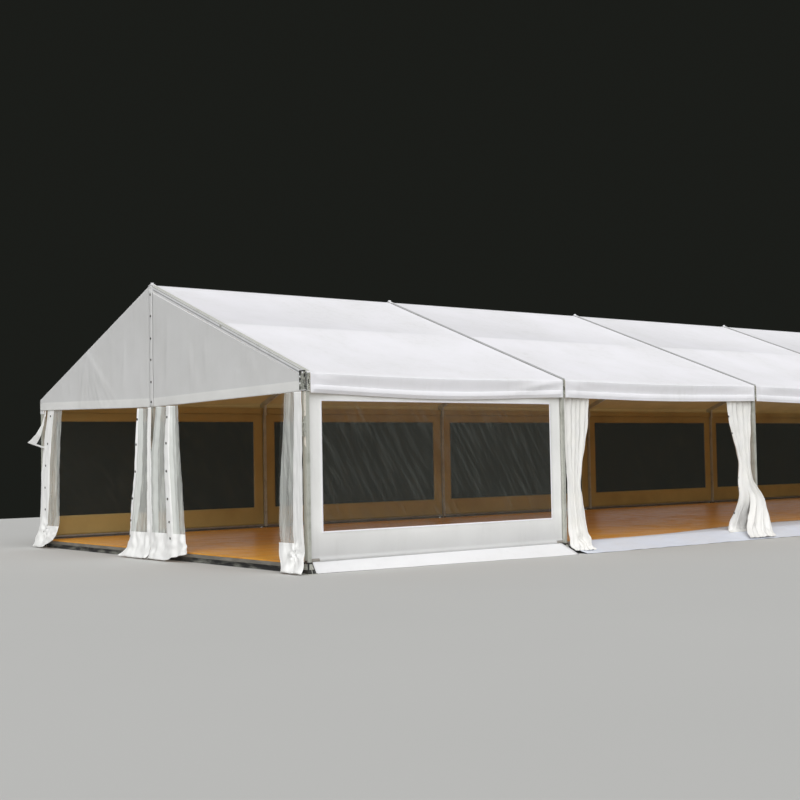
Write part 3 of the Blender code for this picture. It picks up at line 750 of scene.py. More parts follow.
def gable_relief(y, z, back_half, rng):
    """How far a gable sheet stands out: puckers under the rafter, hanging folds and the doubled hem."""
    under = roof_line(y) - z
    lines = []
    sign = 1 if back_half else -1
    for _ in range(GABLE_FOLDS):
        at = sign * rng.uniform(0.15, 3.9)
        high, low = roof_line(at, 0.12), gable_hem(at)
        lean = sign * rng.uniform(-0.12, 0.10)
        start = rng.uniform(0.0, 0.5) * (high - low)
        lines.append((at, high - start, at + lean, low + rng.uniform(0, 0.5), rng.uniform(0.001, 0.005),
                      rng.uniform(0.04, 0.10)))
    if back_half:
        for i in range(FAN_FOLDS):
            foot = 1.2 + 0.22 * i
            lines.append((2.4 + 0.02 * i, 3.55, foot, 2.55, 0.012 * rng.uniform(0.6, 1.1), 0.06))
    relief = folds(y, z, lines)
    puckers = np.sin(y * 2 * np.pi / GABLE_PUCKER + ripples(y, z, rng, 0.7, 1.5)) * 0.0035
    relief += puckers * np.exp(-((under - 0.07) / GABLE_PUCKER_REACH) ** 2)
    relief += ripples(y, z, rng, 0.6, 0.0025)
    band = z - gable_hem(y)
    relief = np.clip(relief, 0, None) * smooth_step(under / 0.05)
    return relief + 0.002 * (band < GABLE_HEM_BAND - 0.001)


def make_gable_sheets():
    """Both gables' sheets, each in a front half under the rafter and a back half over it."""
    front, back = HALF_SPAN - BRACKET_DEPTH / 2 - GAP, HALF_SPAN + BRACKET_DEPTH / 2
    for end, where in GABLES:
        for half, y_ends, below in (("front", (-front, -GABLE_SEAM), RAFTER_DEPTH + GAP),
                                    ("back", (-GABLE_SEAM, back), 0.004)):
            rng = np.random.default_rng(200 + end + len(half))
            y, z = gable_half(y_ends, below, GABLE_COLUMNS, GABLE_ROWS)
            relief = gable_relief(y, z, half == "back", rng)
            points = np.stack([end * (GABLE_FACE + GAP + WALL_THICK + relief), y, z], axis=2)
            name = f"gable_{half}_sheet_{where}"
            rows, columns = y.shape
            in_band = np.repeat(np.arange(rows - 1) < GABLE_BAND_ROWS, columns - 1)
            piece = sheet_piece(name, points, ["gable", "gable_hem"], WALL_THICK, (end, 0, 0), slots=in_band,
                                inner_look="lining")
            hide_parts(f"gable_sheet_{where}")
            width, height = abs(y_ends[1] - y_ends[0]), RIDGE_HEIGHT - gable_hem(0)


# Walls

UP = np.array((0, 0, 1.0))


class Place:
    """A wall's or curtain's own axes: s runs along it, t points out of the marquee and z is up."""

    def __init__(self, origin, along, outward, length=0.0, carrier=None):
        self.origin, self.along, self.outward = map(np.array, (origin, along, outward))
        self.length = length
        self.carrier = carrier

    def points(self, s, t, z):
        """Places in the marquee's axes."""
        s, t, z = np.broadcast_arrays(s, t, z)
        return self.origin + s[..., None] * self.along + t[..., None] * self.outward + z[..., None] * UP


WELD_LAP = 0.022
POCKET_INSET = 0.155
SKIRT_INSET = 0.04
WALL_FOLDS = 20
# How far the skirts spread out, at the two ends of a wall
BACK_SKIRT = (0.34, 0.40)
FRONT_SKIRT = (0.06, 0.41)
GABLE_SKIRT = (0.36, 0.40)


def wall_rows(top):
    """A wall's section from its top to the rail's underside: heights and how far each stands out."""
    above, under = WINDOW_HIGH + WELD_LAP, WINDOW_LOW - WELD_LAP
    plain = np.concatenate([
        np.linspace(top, above, 6), [above - 0.002], np.linspace(WINDOW_HIGH, WINDOW_LOW, 30),
        [under + 0.002], np.linspace(under, RAIL_HEIGHT + RAIL_RADIUS * 1.6, 16),
    ])
    rows = [(z, 0.0) for z in plain]
    radius = RAIL_RADIUS + 0.004
    for angle in np.linspace(math.radians(62), math.radians(-75), 12):
        rows.append((RAIL_HEIGHT + radius * math.sin(angle), radius * math.cos(angle)))
    return np.array(rows)


def make_wall(name, place, top, skirt, replaced, rng, top_notch=None):
    """A wall sheet with its window opening and rail pocket, and the skirt below it."""
    length = place.length
    rows = wall_rows(top)
    first = np.array([GAP, 0.03, 0.075, POCKET_INSET, POCKET_INSET + 0.002, 0.17, WINDOW_MARGIN - WELD_LAP,
                      WINDOW_MARGIN - WELD_LAP + 0.002])
    s = np.concatenate([first, np.linspace(WINDOW_MARGIN, length - WINDOW_MARGIN, 60), length - first[::-1]])
    across, z = np.meshgrid(s, rows[:, 0])
    stand = rows[:, 1:2] + np.zeros_like(across)
    free = smooth_step((WINDOW_LOW - z) / 0.1) * smooth_step((z - RAIL_HEIGHT - 0.03) / 0.08)
    lines = []
    for _ in range(WALL_FOLDS):
        at = rng.uniform(0.3, length - 0.3)
        lines.append((at, WINDOW_LOW - 0.02, at + rng.uniform(0.08, 0.3), RAIL_HEIGHT + 0.06,
                      rng.uniform(0.003, 0.008), rng.uniform(0.03, 0.07)))
    window_middle, window_half = (WINDOW_HIGH + WINDOW_LOW) / 2, (WINDOW_HIGH - WINDOW_LOW) / 2
    beside = np.maximum(np.abs(across - length / 2) - length / 2 + WINDOW_MARGIN,
                        np.abs(z - window_middle) - window_half)
    border = ripples(across, z, rng, 0.7, 0.002) * smooth_step((z - RAIL_HEIGHT - 0.05) / 0.1)
    weld = WELD_STEP * (beside < WELD_LAP - 0.001)
    stand = stand + free * folds(across, z, lines) + border * smooth_step(beside / 0.1) + weld
    points = place.points(across, stand + 0.002, z)
    middle_s, middle_z = middles(s), middles(rows[:, 0])
    in_window = np.outer((middle_z < WINDOW_HIGH) & (middle_z > WINDOW_LOW),
                         (middle_s > WINDOW_MARGIN) & (middle_s < length - WINDOW_MARGIN))
    pocket_row = middle_z < RAIL_HEIGHT + RAIL_RADIUS * 1.2
    past_pocket = (middle_s < POCKET_INSET) | (middle_s > length - POCKET_INSET)
    keep = ~in_window & ~np.outer(pocket_row, past_pocket)
    if top_notch is not None:
        keep &= ~np.outer(middle_z > LEG_TOP, middle_s > length - top_notch)
    by_opening = np.outer(np.abs(middle_z - window_middle) < window_half + WELD_LAP,
                          np.abs(middle_s - length / 2) < length / 2 - WINDOW_MARGIN + WELD_LAP)
    sheet = sheet_piece(name, points, ["wall", "weld"], WALL_THICK, place.outward, keep, by_opening[keep],
                        "lining")
    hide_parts(replaced)
    make_skirt(name + "_skirt", place, skirt, rng)


def make_skirt(name, place, skirt, rng):
    """The flap below a wall's rail, which spreads out onto the ground. skirt is how far, at its two ends."""
    s = np.linspace(SKIRT_INSET, place.length - SKIRT_INSET, 70)
    down = np.linspace(0, 1, 16)
    across, share = np.meshgrid(s, down)
    reach = np.interp(across, (0, place.length), skirt)
    reach = reach + ripples(across, across * 0, rng, 0.9, 0.012) * share
    top = RAIL_HEIGHT - RAIL_RADIUS * 0.8
    hang = 1 - (1 - share) ** 1.15
    z = top * (1 - share) ** 1.05 + 0.003
    t = 0.012 + (reach - 0.012) * hang
    t = t + ripples(across, share * 0.3, rng, 0.35, 0.003) * np.sin(np.pi * share)
    piece = sheet_piece(name, place.points(across, t, z), ["skirt"], WALL_THICK, place.outward)
    flat_height = math.hypot(top, sum(skirt) / 2)


def make_film(name, place, replaced, rng):
    """The clear window behind the opening, a little slack between its welds."""
    s = np.linspace(WINDOW_MARGIN - FILM_LAP, place.length - WINDOW_MARGIN + FILM_LAP, 60)
    z = np.linspace(WINDOW_HIGH + FILM_LAP, WINDOW_LOW - FILM_LAP, 30)
    across, height = np.meshgrid(s, z)
    edge = np.minimum(np.minimum(across - s[0], s[-1] - across), np.minimum(z[0] - height, height - z[-1]))
    loose = smooth_step(edge / 0.25)
    t = -0.0045 - loose * np.abs(ripples(across, height, rng, 0.9, 0.004))
    piece = sheet_piece(name, place.points(across, t, height), ["film"], FILM_THICK, place.outward)
    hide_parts(replaced)


def make_rail(name, place):
    """The aluminium tube in a wall's bottom pocket, bare at its ends."""
    bore = RAIL_RADIUS - 0.003
    turns = np.linspace(0, 2 * math.pi, RAIL_SIDES, endpoint=False)
    rings = []
    for radius, end in ((RAIL_RADIUS, 0), (RAIL_RADIUS, 1), (bore, 1), (bore, 0)):
        s = np.full(RAIL_SIDES, GAP + end * (place.length - 2 * GAP))
        rings.append(place.points(s, radius * np.cos(turns), RAIL_HEIGHT + radius * np.sin(turns)))
    here = np.arange(RAIL_SIDES)
    after = (here + 1) % RAIL_SIDES
    last = 3 * RAIL_SIDES
    closing = np.stack([last + here, last + after, after, here], axis=1)
    quads = np.concatenate([grid_quads(4, RAIL_SIDES, wrap=True), closing])
    piece = new_piece(name, np.concatenate(rings), quads, ["rail"], None, True, math.radians(40))


def wall_places():
    """Every wall: its name, the window's, its place, its top, its skirt's reach and a notch at its top."""
    top = PURLIN_LOW.z - GAP
    for i in range(BAY_COUNT):
        x = FRAME_X[i] + HALF_LEG
        back = Place((x, HALF_SPAN, 0), (1.0, 0, 0), (0, 1.0, 0), WALL_LENGTH, "eaves_purlin_back")
        yield f"back_wall_{i + 1}", f"back_window_{i + 1}", back, top, BACK_SKIRT, None
        if i not in OPEN_FRONT_BAYS:
            front = Place((x, -HALF_SPAN, 0), (1.0, 0, 0), (0, -1.0, 0), WALL_LENGTH, "eaves_purlin_front")
            yield f"front_wall_{i + 1}", f"front_window_{i + 1}", front, top, FRONT_SKIRT, None
    start = POST_DEPTH / 2
    length = HALF_SPAN - LEG_DEPTH / 2 - start
    gable_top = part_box("gable_wall_front")[1].z
    for side, where in ((-1, "front"), (1, "back")):
        place = Place((HALF_LENGTH, side * start, 0), (0, float(side), 0), (1.0, 0, 0), length,
                      "gable_post_far")
        notch = (BRACKET_DEPTH - LEG_DEPTH) / 2
        yield f"gable_wall_{where}", f"gable_window_{where}", place, gable_top, GABLE_SKIRT, notch


def make_header_flap(name, place, rng):
    """The tan flap that hangs from the cover over an eaves purlin's inner face."""
    s = np.linspace(0.01, place.length - 0.01, 60)
    across, z = np.meshgrid(s, np.linspace(PURLIN_HIGH.z + 0.012, PURLIN_LOW.z - 0.014, 8))
    t = -(PURLIN_HIGH.y - PURLIN_LOW.y) / 2 - 0.004 - np.abs(ripples(across, z, rng, 0.5, 0.002))
    points = place.points(across, t, z)
    piece = sheet_piece(name, points, ["lining"], WALL_THICK, -place.outward)
    flat_size(points)


def make_walls():
    """Every wall's sheet, skirt, window and rail, and the flap over the purlin that it hangs from."""
    for number, (wall, window, place, top, skirt, notch) in enumerate(wall_places()):
        rng = np.random.default_rng(300 + number)
        make_wall(wall + "_sheet", place, top, skirt, wall, rng, notch)
        make_film(window + "_film", place, window, rng)
        make_rail(wall + "_rail", place)
        if "purlin" in place.carrier:
            make_header_flap(wall.replace("wall", "header_flap"), place, rng)


# Floor

BOARD_WIDTH = 0.20
BOARD_LENGTH = 2.4
BOARD_THICK = 0.02
BOARD_GAP = 0.0015
BOARD_CHAMFER = 0.002
BOARD_LEAST = 0.3
POST_NOTCH_HALF = 0.13
POST_NOTCH_DEPTH = 0.09
BASE_HEIGHT = 0.03
EDGING_INSET = 0.012
EDGING_HEIGHT = 0.055
SILL_HEIGHT = 0.035


def board(bits, x0, x1, y0, y1):
    """One floorboard with a chamfered top."""
    top, low, c = FLOOR_TOP, FLOOR_TOP - BOARD_THICK, BOARD_CHAMFER
    rings = [(0, low), (0, top - c), (c, top)]
    points = []
    for inset, z in rings:
        points += [(x0 + inset, y0 + inset, z), (x1 - inset, y0 + inset, z),
                   (x1 - inset, y1 - inset, z), (x0 + inset, y1 - inset, z)]
    faces = [tuple(q) for q in grid_quads(3, 4, wrap=True)]
    faces += [(3, 2, 1, 0), (8, 9, 10, 11)]
    bits.add(points, faces)


def make_floor():
    """Rows of boards from gable to gable, left open round the gable posts."""
    notch_y = POST_NOTCH_HALF
    notch_x = HALF_LENGTH - POST_NOTCH_DEPTH
    boards = Bits()
    rows = round((FLOOR_HIGH.y - FLOOR_LOW.y) / BOARD_WIDTH)
    width = (FLOOR_HIGH.y - FLOOR_LOW.y) / rows
    rng = np.random.default_rng(400)
    for row in range(rows):
        y0 = FLOOR_LOW.y + row * width
        y1 = y0 + width
        x, limit = FLOOR_LOW.x, FLOOR_HIGH.x
        if y1 > -notch_y and y0 < notch_y:
            x, limit = -notch_x, notch_x
        length = BOARD_LENGTH * rng.uniform(0.25, 1.0)
        while x < limit - 0.01:
            end = min(x + length, limit)
            if limit - end < BOARD_LEAST:
                end = limit
            board(boards, x + BOARD_GAP / 2, end - BOARD_GAP / 2, y0 + BOARD_GAP / 2, y1 - BOARD_GAP / 2)
            x, length = end, BOARD_LENGTH
    piece = boards.piece("floor_boards", ["board"])
    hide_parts("floor")
    make_floor_base(notch_x, notch_y)


def make_floor_base(notch_x, notch_y):
    """The dark cassettes under the boards, with an edging along every side."""
    base = Bits()
    top, inset = FLOOR_TOP - BOARD_THICK - 0.001, EDGING_INSET
    low_x, high_x = FLOOR_LOW.x + inset, FLOOR_HIGH.x - inset
    low_y, high_y = FLOOR_LOW.y + inset, FLOOR_HIGH.y - inset
    base.box((-notch_x, low_y, BASE_HEIGHT), (notch_x, high_y, top))
    for side in (-1, 1):
        x0, x1 = sorted((side * notch_x, side * high_x))
        for y0, y1 in ((low_y, -notch_y), (notch_y, high_y)):
            base.box((x0, y0, BASE_HEIGHT), (x1, y1, top))
            edge0, edge1 = sorted((side * (high_x + 0.0005), side * (high_x + inset - 0.001)))
            base.box((edge0, y0 - inset, top - EDGING_HEIGHT), (edge1, y1 + inset, top), 1)
            base.box((edge0, y0 - inset, 0.0), (edge1, y1 + inset, SILL_HEIGHT))
    for side in (-1, 1):
        edge0, edge1 = sorted((side * (high_y + 0.0005), side * (high_y + inset - 0.001)))
        base.box((low_x, edge0, top - EDGING_HEIGHT), (high_x, edge1, top), 1)
        base.box((low_x, edge0, 0.0), (high_x, edge1, SILL_HEIGHT))
    piece = base.piece("floor_cassettes", ["dark", "edging"], bevel=0.002)


# Curtains

DRAPE_ROWS = 96
DRAPE_COLUMNS = 112
CLOTH_THICK = 0.001
CLEAR_FOOT = 0.43
STUD_RADIUS = 0.021
FOOT_SWING = 0.09
FRONT_PLEATS = 5
FRONT_CRINKLE = 0.017
GABLE_PLEATS = 9
GABLE_CRINKLE = 0.010
TIE_HALF = 0.02
TIE_THICK = 0.0015
KNOT_RAYS = 7
KNOT_CORE = 0.035
KNOT_REACH = 0.15
KNOT_DEPTH = 0.030
STRIP_COLUMNS = 260
STRIP_THICK = 0.0015
STRIP_NOTCH = 0.11
STRIP_NOTCH_OUT = 0.15
STRIP_ASKEW = 0.85
STRIP_ASKEW_FROM = -5.6
STRIP_ASKEW_RUN = 5.2


def eased(down, run, values):
    """Values at places down a path, from those at its few levels, with the corners rounded off."""
    plain = np.interp(down, run, values)
    reach = len(down) // 14
    before = 2 * plain[0] - plain[reach:0:-1]
    after = 2 * plain[-1] - plain[-2:-reach - 2:-1]
    window = np.hanning(2 * reach + 3)[1:-1]
    return np.convolve(np.concatenate([before, plain, after]), window / window.sum(), "valid")


def pleat_wave(share, down, pleats, rng):
    """Uneven rounded pleats side by side that wander on their way down: how far out, and how far aside."""
    knots = np.cumsum(np.concatenate([[0], rng.uniform(0.6, 1.4, pleats)]))
    knots /= knots[-1]
    turn = 2 * np.pi * np.interp(share, knots, np.arange(pleats + 1))
    depth = np.interp(share, knots, rng.uniform(0.5, 1.0, pleats + 1))
    wander = 0.5 * np.sin(2 * np.pi * down / 2.3 + rng.uniform(0, 6) + 3 * share)
    small = 0.22 * np.sin(2.6 * turn + 3 * wander + rng.uniform(0, 6))
    wave = np.sin(turn + wander)
    out = depth * (np.sign(wave) * np.abs(wave) ** 0.8 + small) / 1.2
    aside = np.sin(2 * (turn + wander)) * np.sin(np.pi * share)
    return out, aside


def set_folds(share, z, profiles):
    """How far out a sheet's folds stand. profiles gives heights, each with (share, how far out) pairs."""
    window = np.hanning(13)[1:-1]
    curves = []
    for _, knots in profiles:
        plain = np.interp(share[0], *zip(*knots))
        curves.append(np.convolve(np.pad(plain, 5, mode="edge"), window / window.sum(), "valid"))
    heights = [height for height, _ in profiles][::-1]
    curves = np.array(curves)[::-1]
    return np.stack([np.interp(z, heights, curves[:, k]) for k in range(share.shape[1])], axis=1)


def creases(s, z, spot):
    """Creases round a pinch in a curtain, at a place along it and a height."""
    aside, above = s - spot[0], z[:, None] - spot[1]
    radius = np.hypot(aside, above)
    rays = np.cos(KNOT_RAYS * np.arctan2(aside, above) + 1.1) * np.minimum(radius / KNOT_CORE, 1)
    return KNOT_DEPTH * (rays * np.exp(-(radius / KNOT_REACH) ** 2) - np.exp(-(radius / KNOT_CORE) ** 2))


def drape(place, levels, pleats, rng, ground, crinkle, profiles=None, split=None, lift=(0, 0), knot=None):
    """Grid of points of a gathered curtain, and its height in each row.

    levels gives, from its top to its foot: height, stand-off, first edge, last edge and fold depth.
    ground gives the height of what it stands on, and crinkle how deep its small ripples are.
    profiles sets its large folds one by one, and pleats then are small ones over them.
    split is where its foot parts in two: the share of its width, the height, how far the two cut edges then
    move along, as shares of the width, and how far the second part stays inside.
    lift is how much higher its foot hangs at its first and last edges.
    knot is the place along and the height of a pinch with creases round it.
    """
    z, stand, first, last, depth = (np.array(part, float) for part in zip(*levels))
    run = np.concatenate([[0], np.cumsum(np.hypot(np.diff(z), np.diff(stand)))])
    down = np.linspace(0, run[-1], DRAPE_ROWS)
    z, stand, first, last, depth = (eased(down, run, part) for part in (z, stand, first, last, depth))
    z_step, stand_step = np.gradient(z, down), np.gradient(stand, down)
    length = np.hypot(z_step, stand_step)
    out, up = (-z_step / length)[:, None], (stand_step / length)[:, None]
    share, along = np.meshgrid(np.linspace(0, 1, DRAPE_COLUMNS), down)
    wave, aside = pleat_wave(share, along, pleats, rng)
    if profiles:
        wave, aside = set_folds(share, z, profiles) + 0.06 * wave, 0.3 * aside
    place_share, inside = share, 0
    if split:
        at, height, first_move, second_move, depth_inside = split
        parted = smooth_step((height - z) / height)[:, None]
        move = np.where(share < at, first_move * share / at, second_move * (1 - share) / (1 - at))
        place_share, inside = share + parted * move, parted * depth_inside * (share > at)
    width = (last - first)[:, None]
    s = first[:, None] + width * place_share + width / pleats * 0.14 * aside
    crumple = ripples(s, along, rng, 0.20, crinkle) * smooth_step((0.7 - z) / 0.6)[:, None]
    crumple += ripples(s, along * 0.5, rng, 0.13, crinkle * 0.3)
    if knot:
        crumple += creases(s, z, knot)
    offset = depth[:, None] * wave + crumple
    low = smooth_step((CLEAR_FOOT - z) / CLEAR_FOOT)[:, None]
    raised = low * np.interp(share, (0, 0.5, 1), (lift[0], 0, lift[1]))
    reach = 1 - np.clip(raised * 2.2, 0, 0.6)
    stand = stand[:, None]
    swing = np.where(stand > FOOT_SWING, FOOT_SWING + (stand - FOOT_SWING) * reach, stand)
    t = swing + offset * out - inside
    height = z[:, None] + raised + offset * up
    height = np.maximum(height, ground(t) + 0.005 + 0.004 * (1 + wave))
    return place.points(s, t, height), z


def middles(values):
    """The middle between each value and the next."""
    return (values[1:] + values[:-1]) / 2


def cell_shares(count):
    """Middles of equal cells, as shares of the whole."""
    return (np.arange(count) + 0.5) / count


def flat_size(points):
    """Width and length that a sheet was cut to: the mean run of its rows and of its columns."""
    across = np.linalg.norm(np.diff(points, axis=1), axis=2).sum(1).mean()
    down = np.linalg.norm(np.diff(points, axis=0), axis=2).sum(0).mean()
    return float(across), float(down)


def make_curtain(name, replaced, place, points, looks, keep=None, slots=None):
    """A gathered curtain from its grid of points."""
    piece = sheet_piece(name, points, looks, CLOTH_THICK, place.outward, keep, slots)
    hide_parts(replaced)
    flat_size(points)


def make_studs(name, place, points, z, column, heights):
    """Press-stud heads in a row down a curtain."""
    heads = Bits()
    for height in heights:
        spot = points[int(np.abs(z - height).argmin()), column]
        heads.disc(spot - 0.001 * place.outward, place.outward, STUD_RADIUS, 0.006)
    heads.piece(name, ["dark"])


def strip_height(y):
    """Height of the entrance strip's top at a distance from the ridge line."""
    edge = abs(FLOOR_LOW.y)
    run = np.clip((np.abs(y) - edge) / (abs(STRIP_LOW.y) - edge), 0, 1)
    return (FLOOR_TOP + 0.003) * (1 - run) ** 1.1 + 0.003


# Each level of a curtain, from its top to its foot: height, stand-off, first edge, last edge and fold depth
SWEPT = [
    (2.598, 0, 0.032, 0.745, 0.024), (2.3, 0, 0.04, 0.725, 0.032), (2.05, 0, 0.06, 0.675, 0.038),
    (1.75, 0.004, 0.1, 0.56, 0.04), (1.43, 0.012, 0.13, 0.445, 0.04), (1.15, 0.03, 0.13, 0.49, 0.042),
    (0.97, 0.055, 0.06, 0.54, 0.045), (0.8, 0.085, -0.12, 0.53, 0.05), (0.5, 0.125, -0.2, 0.55, 0.052),
    (0.32, 0.17, -0.2, 0.6, 0.05), (0.19, 0.23, -0.16, 0.66, 0.044), (0.1, 0.31, -0.12, 0.71, 0.034),
    (0.06, 0.37, -0.1, 0.74, 0.022), (0.04, 0.4, -0.08, 0.75, 0.012),
]
SWEPT_SPLIT = (0.50, 0.86, 0.42, -0.44, 0.40)
WAIST_HEIGHT = 1.43
SWEPT_STUDS = [2.24, 1.93, 1.10, 0.93, 0.47]
PLAIN = [
    (2.598, 0, 0.032, 0.66, 0.026), (2, 0, 0.05, 0.6, 0.034), (1.35, 0, 0.08, 0.46, 0.038),
    (1.1, 0.008, 0.09, 0.41, 0.04), (0.8, 0.03, 0.07, 0.42, 0.042), (0.45, 0.07, 0.05, 0.44, 0.045),
    (0.25, 0.12, 0.02, 0.45, 0.046), (0.13, 0.185, -0.02, 0.46, 0.038), (0.07, 0.24, -0.04, 0.46, 0.025),
    (0.04, 0.285, -0.03, 0.45, 0.014),
]


def make_front_curtains():
    """White cloth curtains beside the open bays: two swept aside and tied, two hanging straight."""
    for index, into, swept in ((1, 1, False), (2, -1, True), (3, 1, True), (4, -1, False)):
        rng = np.random.default_rng(500 + index)
        place = Place((FRAME_X[index], -HALF_SPAN, 0), (float(into), 0, 0), (0, -1.0, 0),
                      carrier="eaves_purlin_front")
        levels, split = (SWEPT, SWEPT_SPLIT) if swept else (PLAIN, None)
        points, z = drape(place, levels, FRONT_PLEATS, rng, lambda t: strip_height(HALF_SPAN + t),
                          FRONT_CRINKLE, split=split)
        keep = None
        if swept:
            at, height = split[:2]
            keep = np.ones((DRAPE_ROWS - 1, DRAPE_COLUMNS - 1), bool)
            keep[middles(z) < height, math.ceil(at * (DRAPE_COLUMNS - 1)) - 1] = False
        name = f"front_curtain_{index + 1}"
        make_curtain(name + "_cloth", name, place, points, ["cloth"], keep=keep)
        if swept:
            make_tie(name + "_tie", place, points, z, WAIST_HEIGHT)
            make_studs(name + "_studs", place, points, z, DRAPE_COLUMNS - 4, SWEPT_STUDS)


def make_tie(name, place, points, z, height):
    """A soft band that holds a curtain's waist from behind."""
    row = int(np.abs(z - height).argmin())
    across = points[row]
    centre = (across.min(0) + across.max(0)) / 2
    size = across.max(0) - across.min(0)
    half_s = abs(size @ np.abs(place.along)) / 2 + 0.003
    half_t = abs(size @ np.abs(place.outward)) / 2 + 0.004
    turns, levels = np.meshgrid(np.linspace(0.98 * math.pi, 2.02 * math.pi, 40),
                                np.linspace(-TIE_HALF, TIE_HALF, 5))
    s, t = half_s * np.cos(turns), half_t * np.sin(turns)
    lift = UP * (levels + 0.02 * np.cos(turns) ** 2)[..., None]
    spots = centre + s[..., None] * place.along + t[..., None] * place.outward + lift
    band = sheet_piece(name, spots, ["cloth"], TIE_THICK, -place.outward)
    flat_size(spots)


# The gable curtains' levels, and their folds: heights, each with shares of the width and how far out
MIDDLE_LEFT = [
    (2.495, 0.066, 0.4, -0.09, 0.036), (2.05, 0.088, 0.38, -0.155, 0.06), (1.7, 0.096, 0.39, -0.165, 0.066),
    (1.4, 0.096, 0.41, -0.17, 0.068), (0.9, 0.096, 0.535, -0.175, 0.068), (0.55, 0.098, 0.635, -0.175, 0.062),
    (0.42, 0.105, 0.655, -0.17, 0.056), (0.26, 0.13, 0.63, -0.17, 0.05), (0.13, 0.165, 0.74, -0.15, 0.04),
    (0.05, 0.205, 0.85, -0.13, 0.024), (0.02, 0.245, 0.87, -0.12, 0.01),
]
MIDDLE_LEFT_FOLDS = [
    (2.5, [(0, 0.9), (0.2, 0.1), (0.36, -0.7), (0.55, -0.5), (0.74, 0.7), (0.8, 0.9), (1, 0.8)]),
    (0.9, [(0, 0.8), (0.12, 0.8), (0.34, -0.3), (0.5, -0.8), (0.7, 0.4), (0.8, 0.9), (1, 0.6)]),
    (0.3, [(0, 0.2), (0.2, 0.8), (0.42, 0), (0.58, -0.6), (0.75, 0.6), (0.9, 0.2), (1, 0.6)]),
    (0.02, [(0, 0), (0.25, 0.6), (0.5, -0.4), (0.8, 0.5), (1, 0)]),
]
MIDDLE_RIGHT = [
    (2.495, 0.066, -0.25, -0.93, 0.036), (2.05, 0.09, -0.24, -0.98, 0.06), (1.75, 0.098, -0.17, -1.02, 0.066),
    (1.45, 0.1, -0.16, -1.05, 0.068), (0.9, 0.102, -0.15, -1.13, 0.068), (0.55, 0.102, -0.15, -1.18, 0.06),
    (0.42, 0.11, -0.15, -1.2, 0.056), (0.26, 0.13, -0.15, -1.26, 0.048), (0.13, 0.16, -0.13, -1.34, 0.036),
    (0.05, 0.19, -0.12, -1.38, 0.022), (0.02, 0.225, -0.12, -1.38, 0.01),
]
MIDDLE_RIGHT_FOLDS = [
    (2.5, [(0, 0.7), (0.1, 0.9), (0.22, 0.5), (0.34, -0.7), (0.44, -0.5), (0.5, 0.6), (0.6, 0.8), (0.69, 0.7),
            (0.76, -0.2), (0.9, -0.6), (1, -0.3)]),
    (1, [(0, 0.5), (0.12, 0.9), (0.24, 0.4), (0.36, -0.7), (0.45, -0.4), (0.5, 0.6), (0.6, 0.8), (0.69, 0.6),
            (0.76, -0.3), (0.86, 0.1), (0.93, -0.5), (1, -0.3)]),
    (0.3, [(0, 0.3), (0.18, 0.8), (0.38, -0.2), (0.5, 0.5), (0.68, 0.7), (0.8, -0.2), (0.9, 0.3), (1, -0.2)]),
    (0.02, [(0, 0), (0.2, 0.7), (0.4, -0.2), (0.6, 0.5), (0.8, -0.3), (1, 0)]),
]
CORNER_RIGHT = [
    (2.543, 0.04, -3.97, -4.465, 0.012), (2.3, 0.054, -3.96, -4.505, 0.024),
    (1.9, 0.062, -3.93, -4.52, 0.032),
    (1.4, 0.066, -3.87, -4.525, 0.038), (0.9, 0.07, -3.84, -4.535, 0.04), (0.55, 0.076, -3.84, -4.55, 0.04),
    (0.42, 0.088, -3.88, -4.575, 0.03), (0.25, 0.12, -3.98, -4.605, 0.026), (0.12, 0.16, -4.05, -4.63, 0.026),
    (0.05, 0.19, -4.1, -4.63, 0.024), (0.02, 0.215, -4.12, -4.63, 0.01),
]
CORNER_RIGHT_FOLDS = [
    (2.55, [(0, 0.6), (0.1, -0.6), (0.25, 0.9), (0.42, -0.8), (0.56, -0.6), (0.62, 0.7), (1, 0.7)]),
    (1.2, [(0, -0.3), (0.15, 0.5), (0.3, -0.6), (0.45, 0.3), (0.56, -0.5), (0.64, 0.7), (1, 0.7)]),
    (0.45, [(0, -0.2), (0.2, 0.5), (0.4, -0.4), (0.62, 0.6), (1, 0.7)]),
    (0.22, [(0, 0.2), (0.16, 0.7), (0.34, 0.2), (0.5, 0.7), (0.62, -0.1), (0.74, 0.6), (1, 0.2)]),
    (0.02, [(0, 0), (0.3, 0.6), (0.6, -0.4), (0.8, 0.4), (1, 0)]),
]
CORNER_LEFT = [
    (2.635, 0.008, 3.6, 4.26, 0.006), (2.5, 0.016, 3.6, 4.27, 0.014), (2.1, 0.044, 3.6, 4.33, 0.026),
    (1.5, 0.066, 3.6, 4.42, 0.034), (0.9, 0.078, 3.6, 4.45, 0.036), (0.55, 0.086, 3.6, 4.47, 0.036),
    (0.44, 0.094, 3.6, 4.47, 0.036), (0.3, 0.115, 3.62, 4.5, 0.046), (0.16, 0.145, 3.65, 4.54, 0.042),
    (0.06, 0.17, 3.69, 4.6, 0.025), (0.02, 0.19, 3.72, 4.61, 0.01),
]
CORNER_LEFT_FOLDS = [
    (2.64, [(0, 0.5), (0.12, -0.3), (0.25, 0.5), (0.38, -0.5), (0.5, 0.3), (0.57, 0.8), (0.95, 0.7),
            (1, 0.3)]),
    (1.2, [(0, 0.3), (0.2, -0.5), (0.35, 0.4), (0.5, -0.3), (0.6, 0.6), (0.95, 0.6), (1, 0.2)]),
    (0.45, [(0, -0.2), (0.2, 0.6), (0.4, 0.1), (0.58, 0.7), (0.72, -0.5), (0.85, 0.6), (1, 0)]),
    (0.2, [(0, 0), (0.3, 0.9), (0.55, 0.6), (0.68, -0.9), (0.8, 0.6), (1, 0.2)]),
    (0.02, [(0, 0), (0.3, 0.6), (0.66, -0.6), (0.85, 0.4), (1, 0)]),
]
BORDER_STUDS = [2.30, 1.90, 1.45, 1.00, 0.62, 0.36]
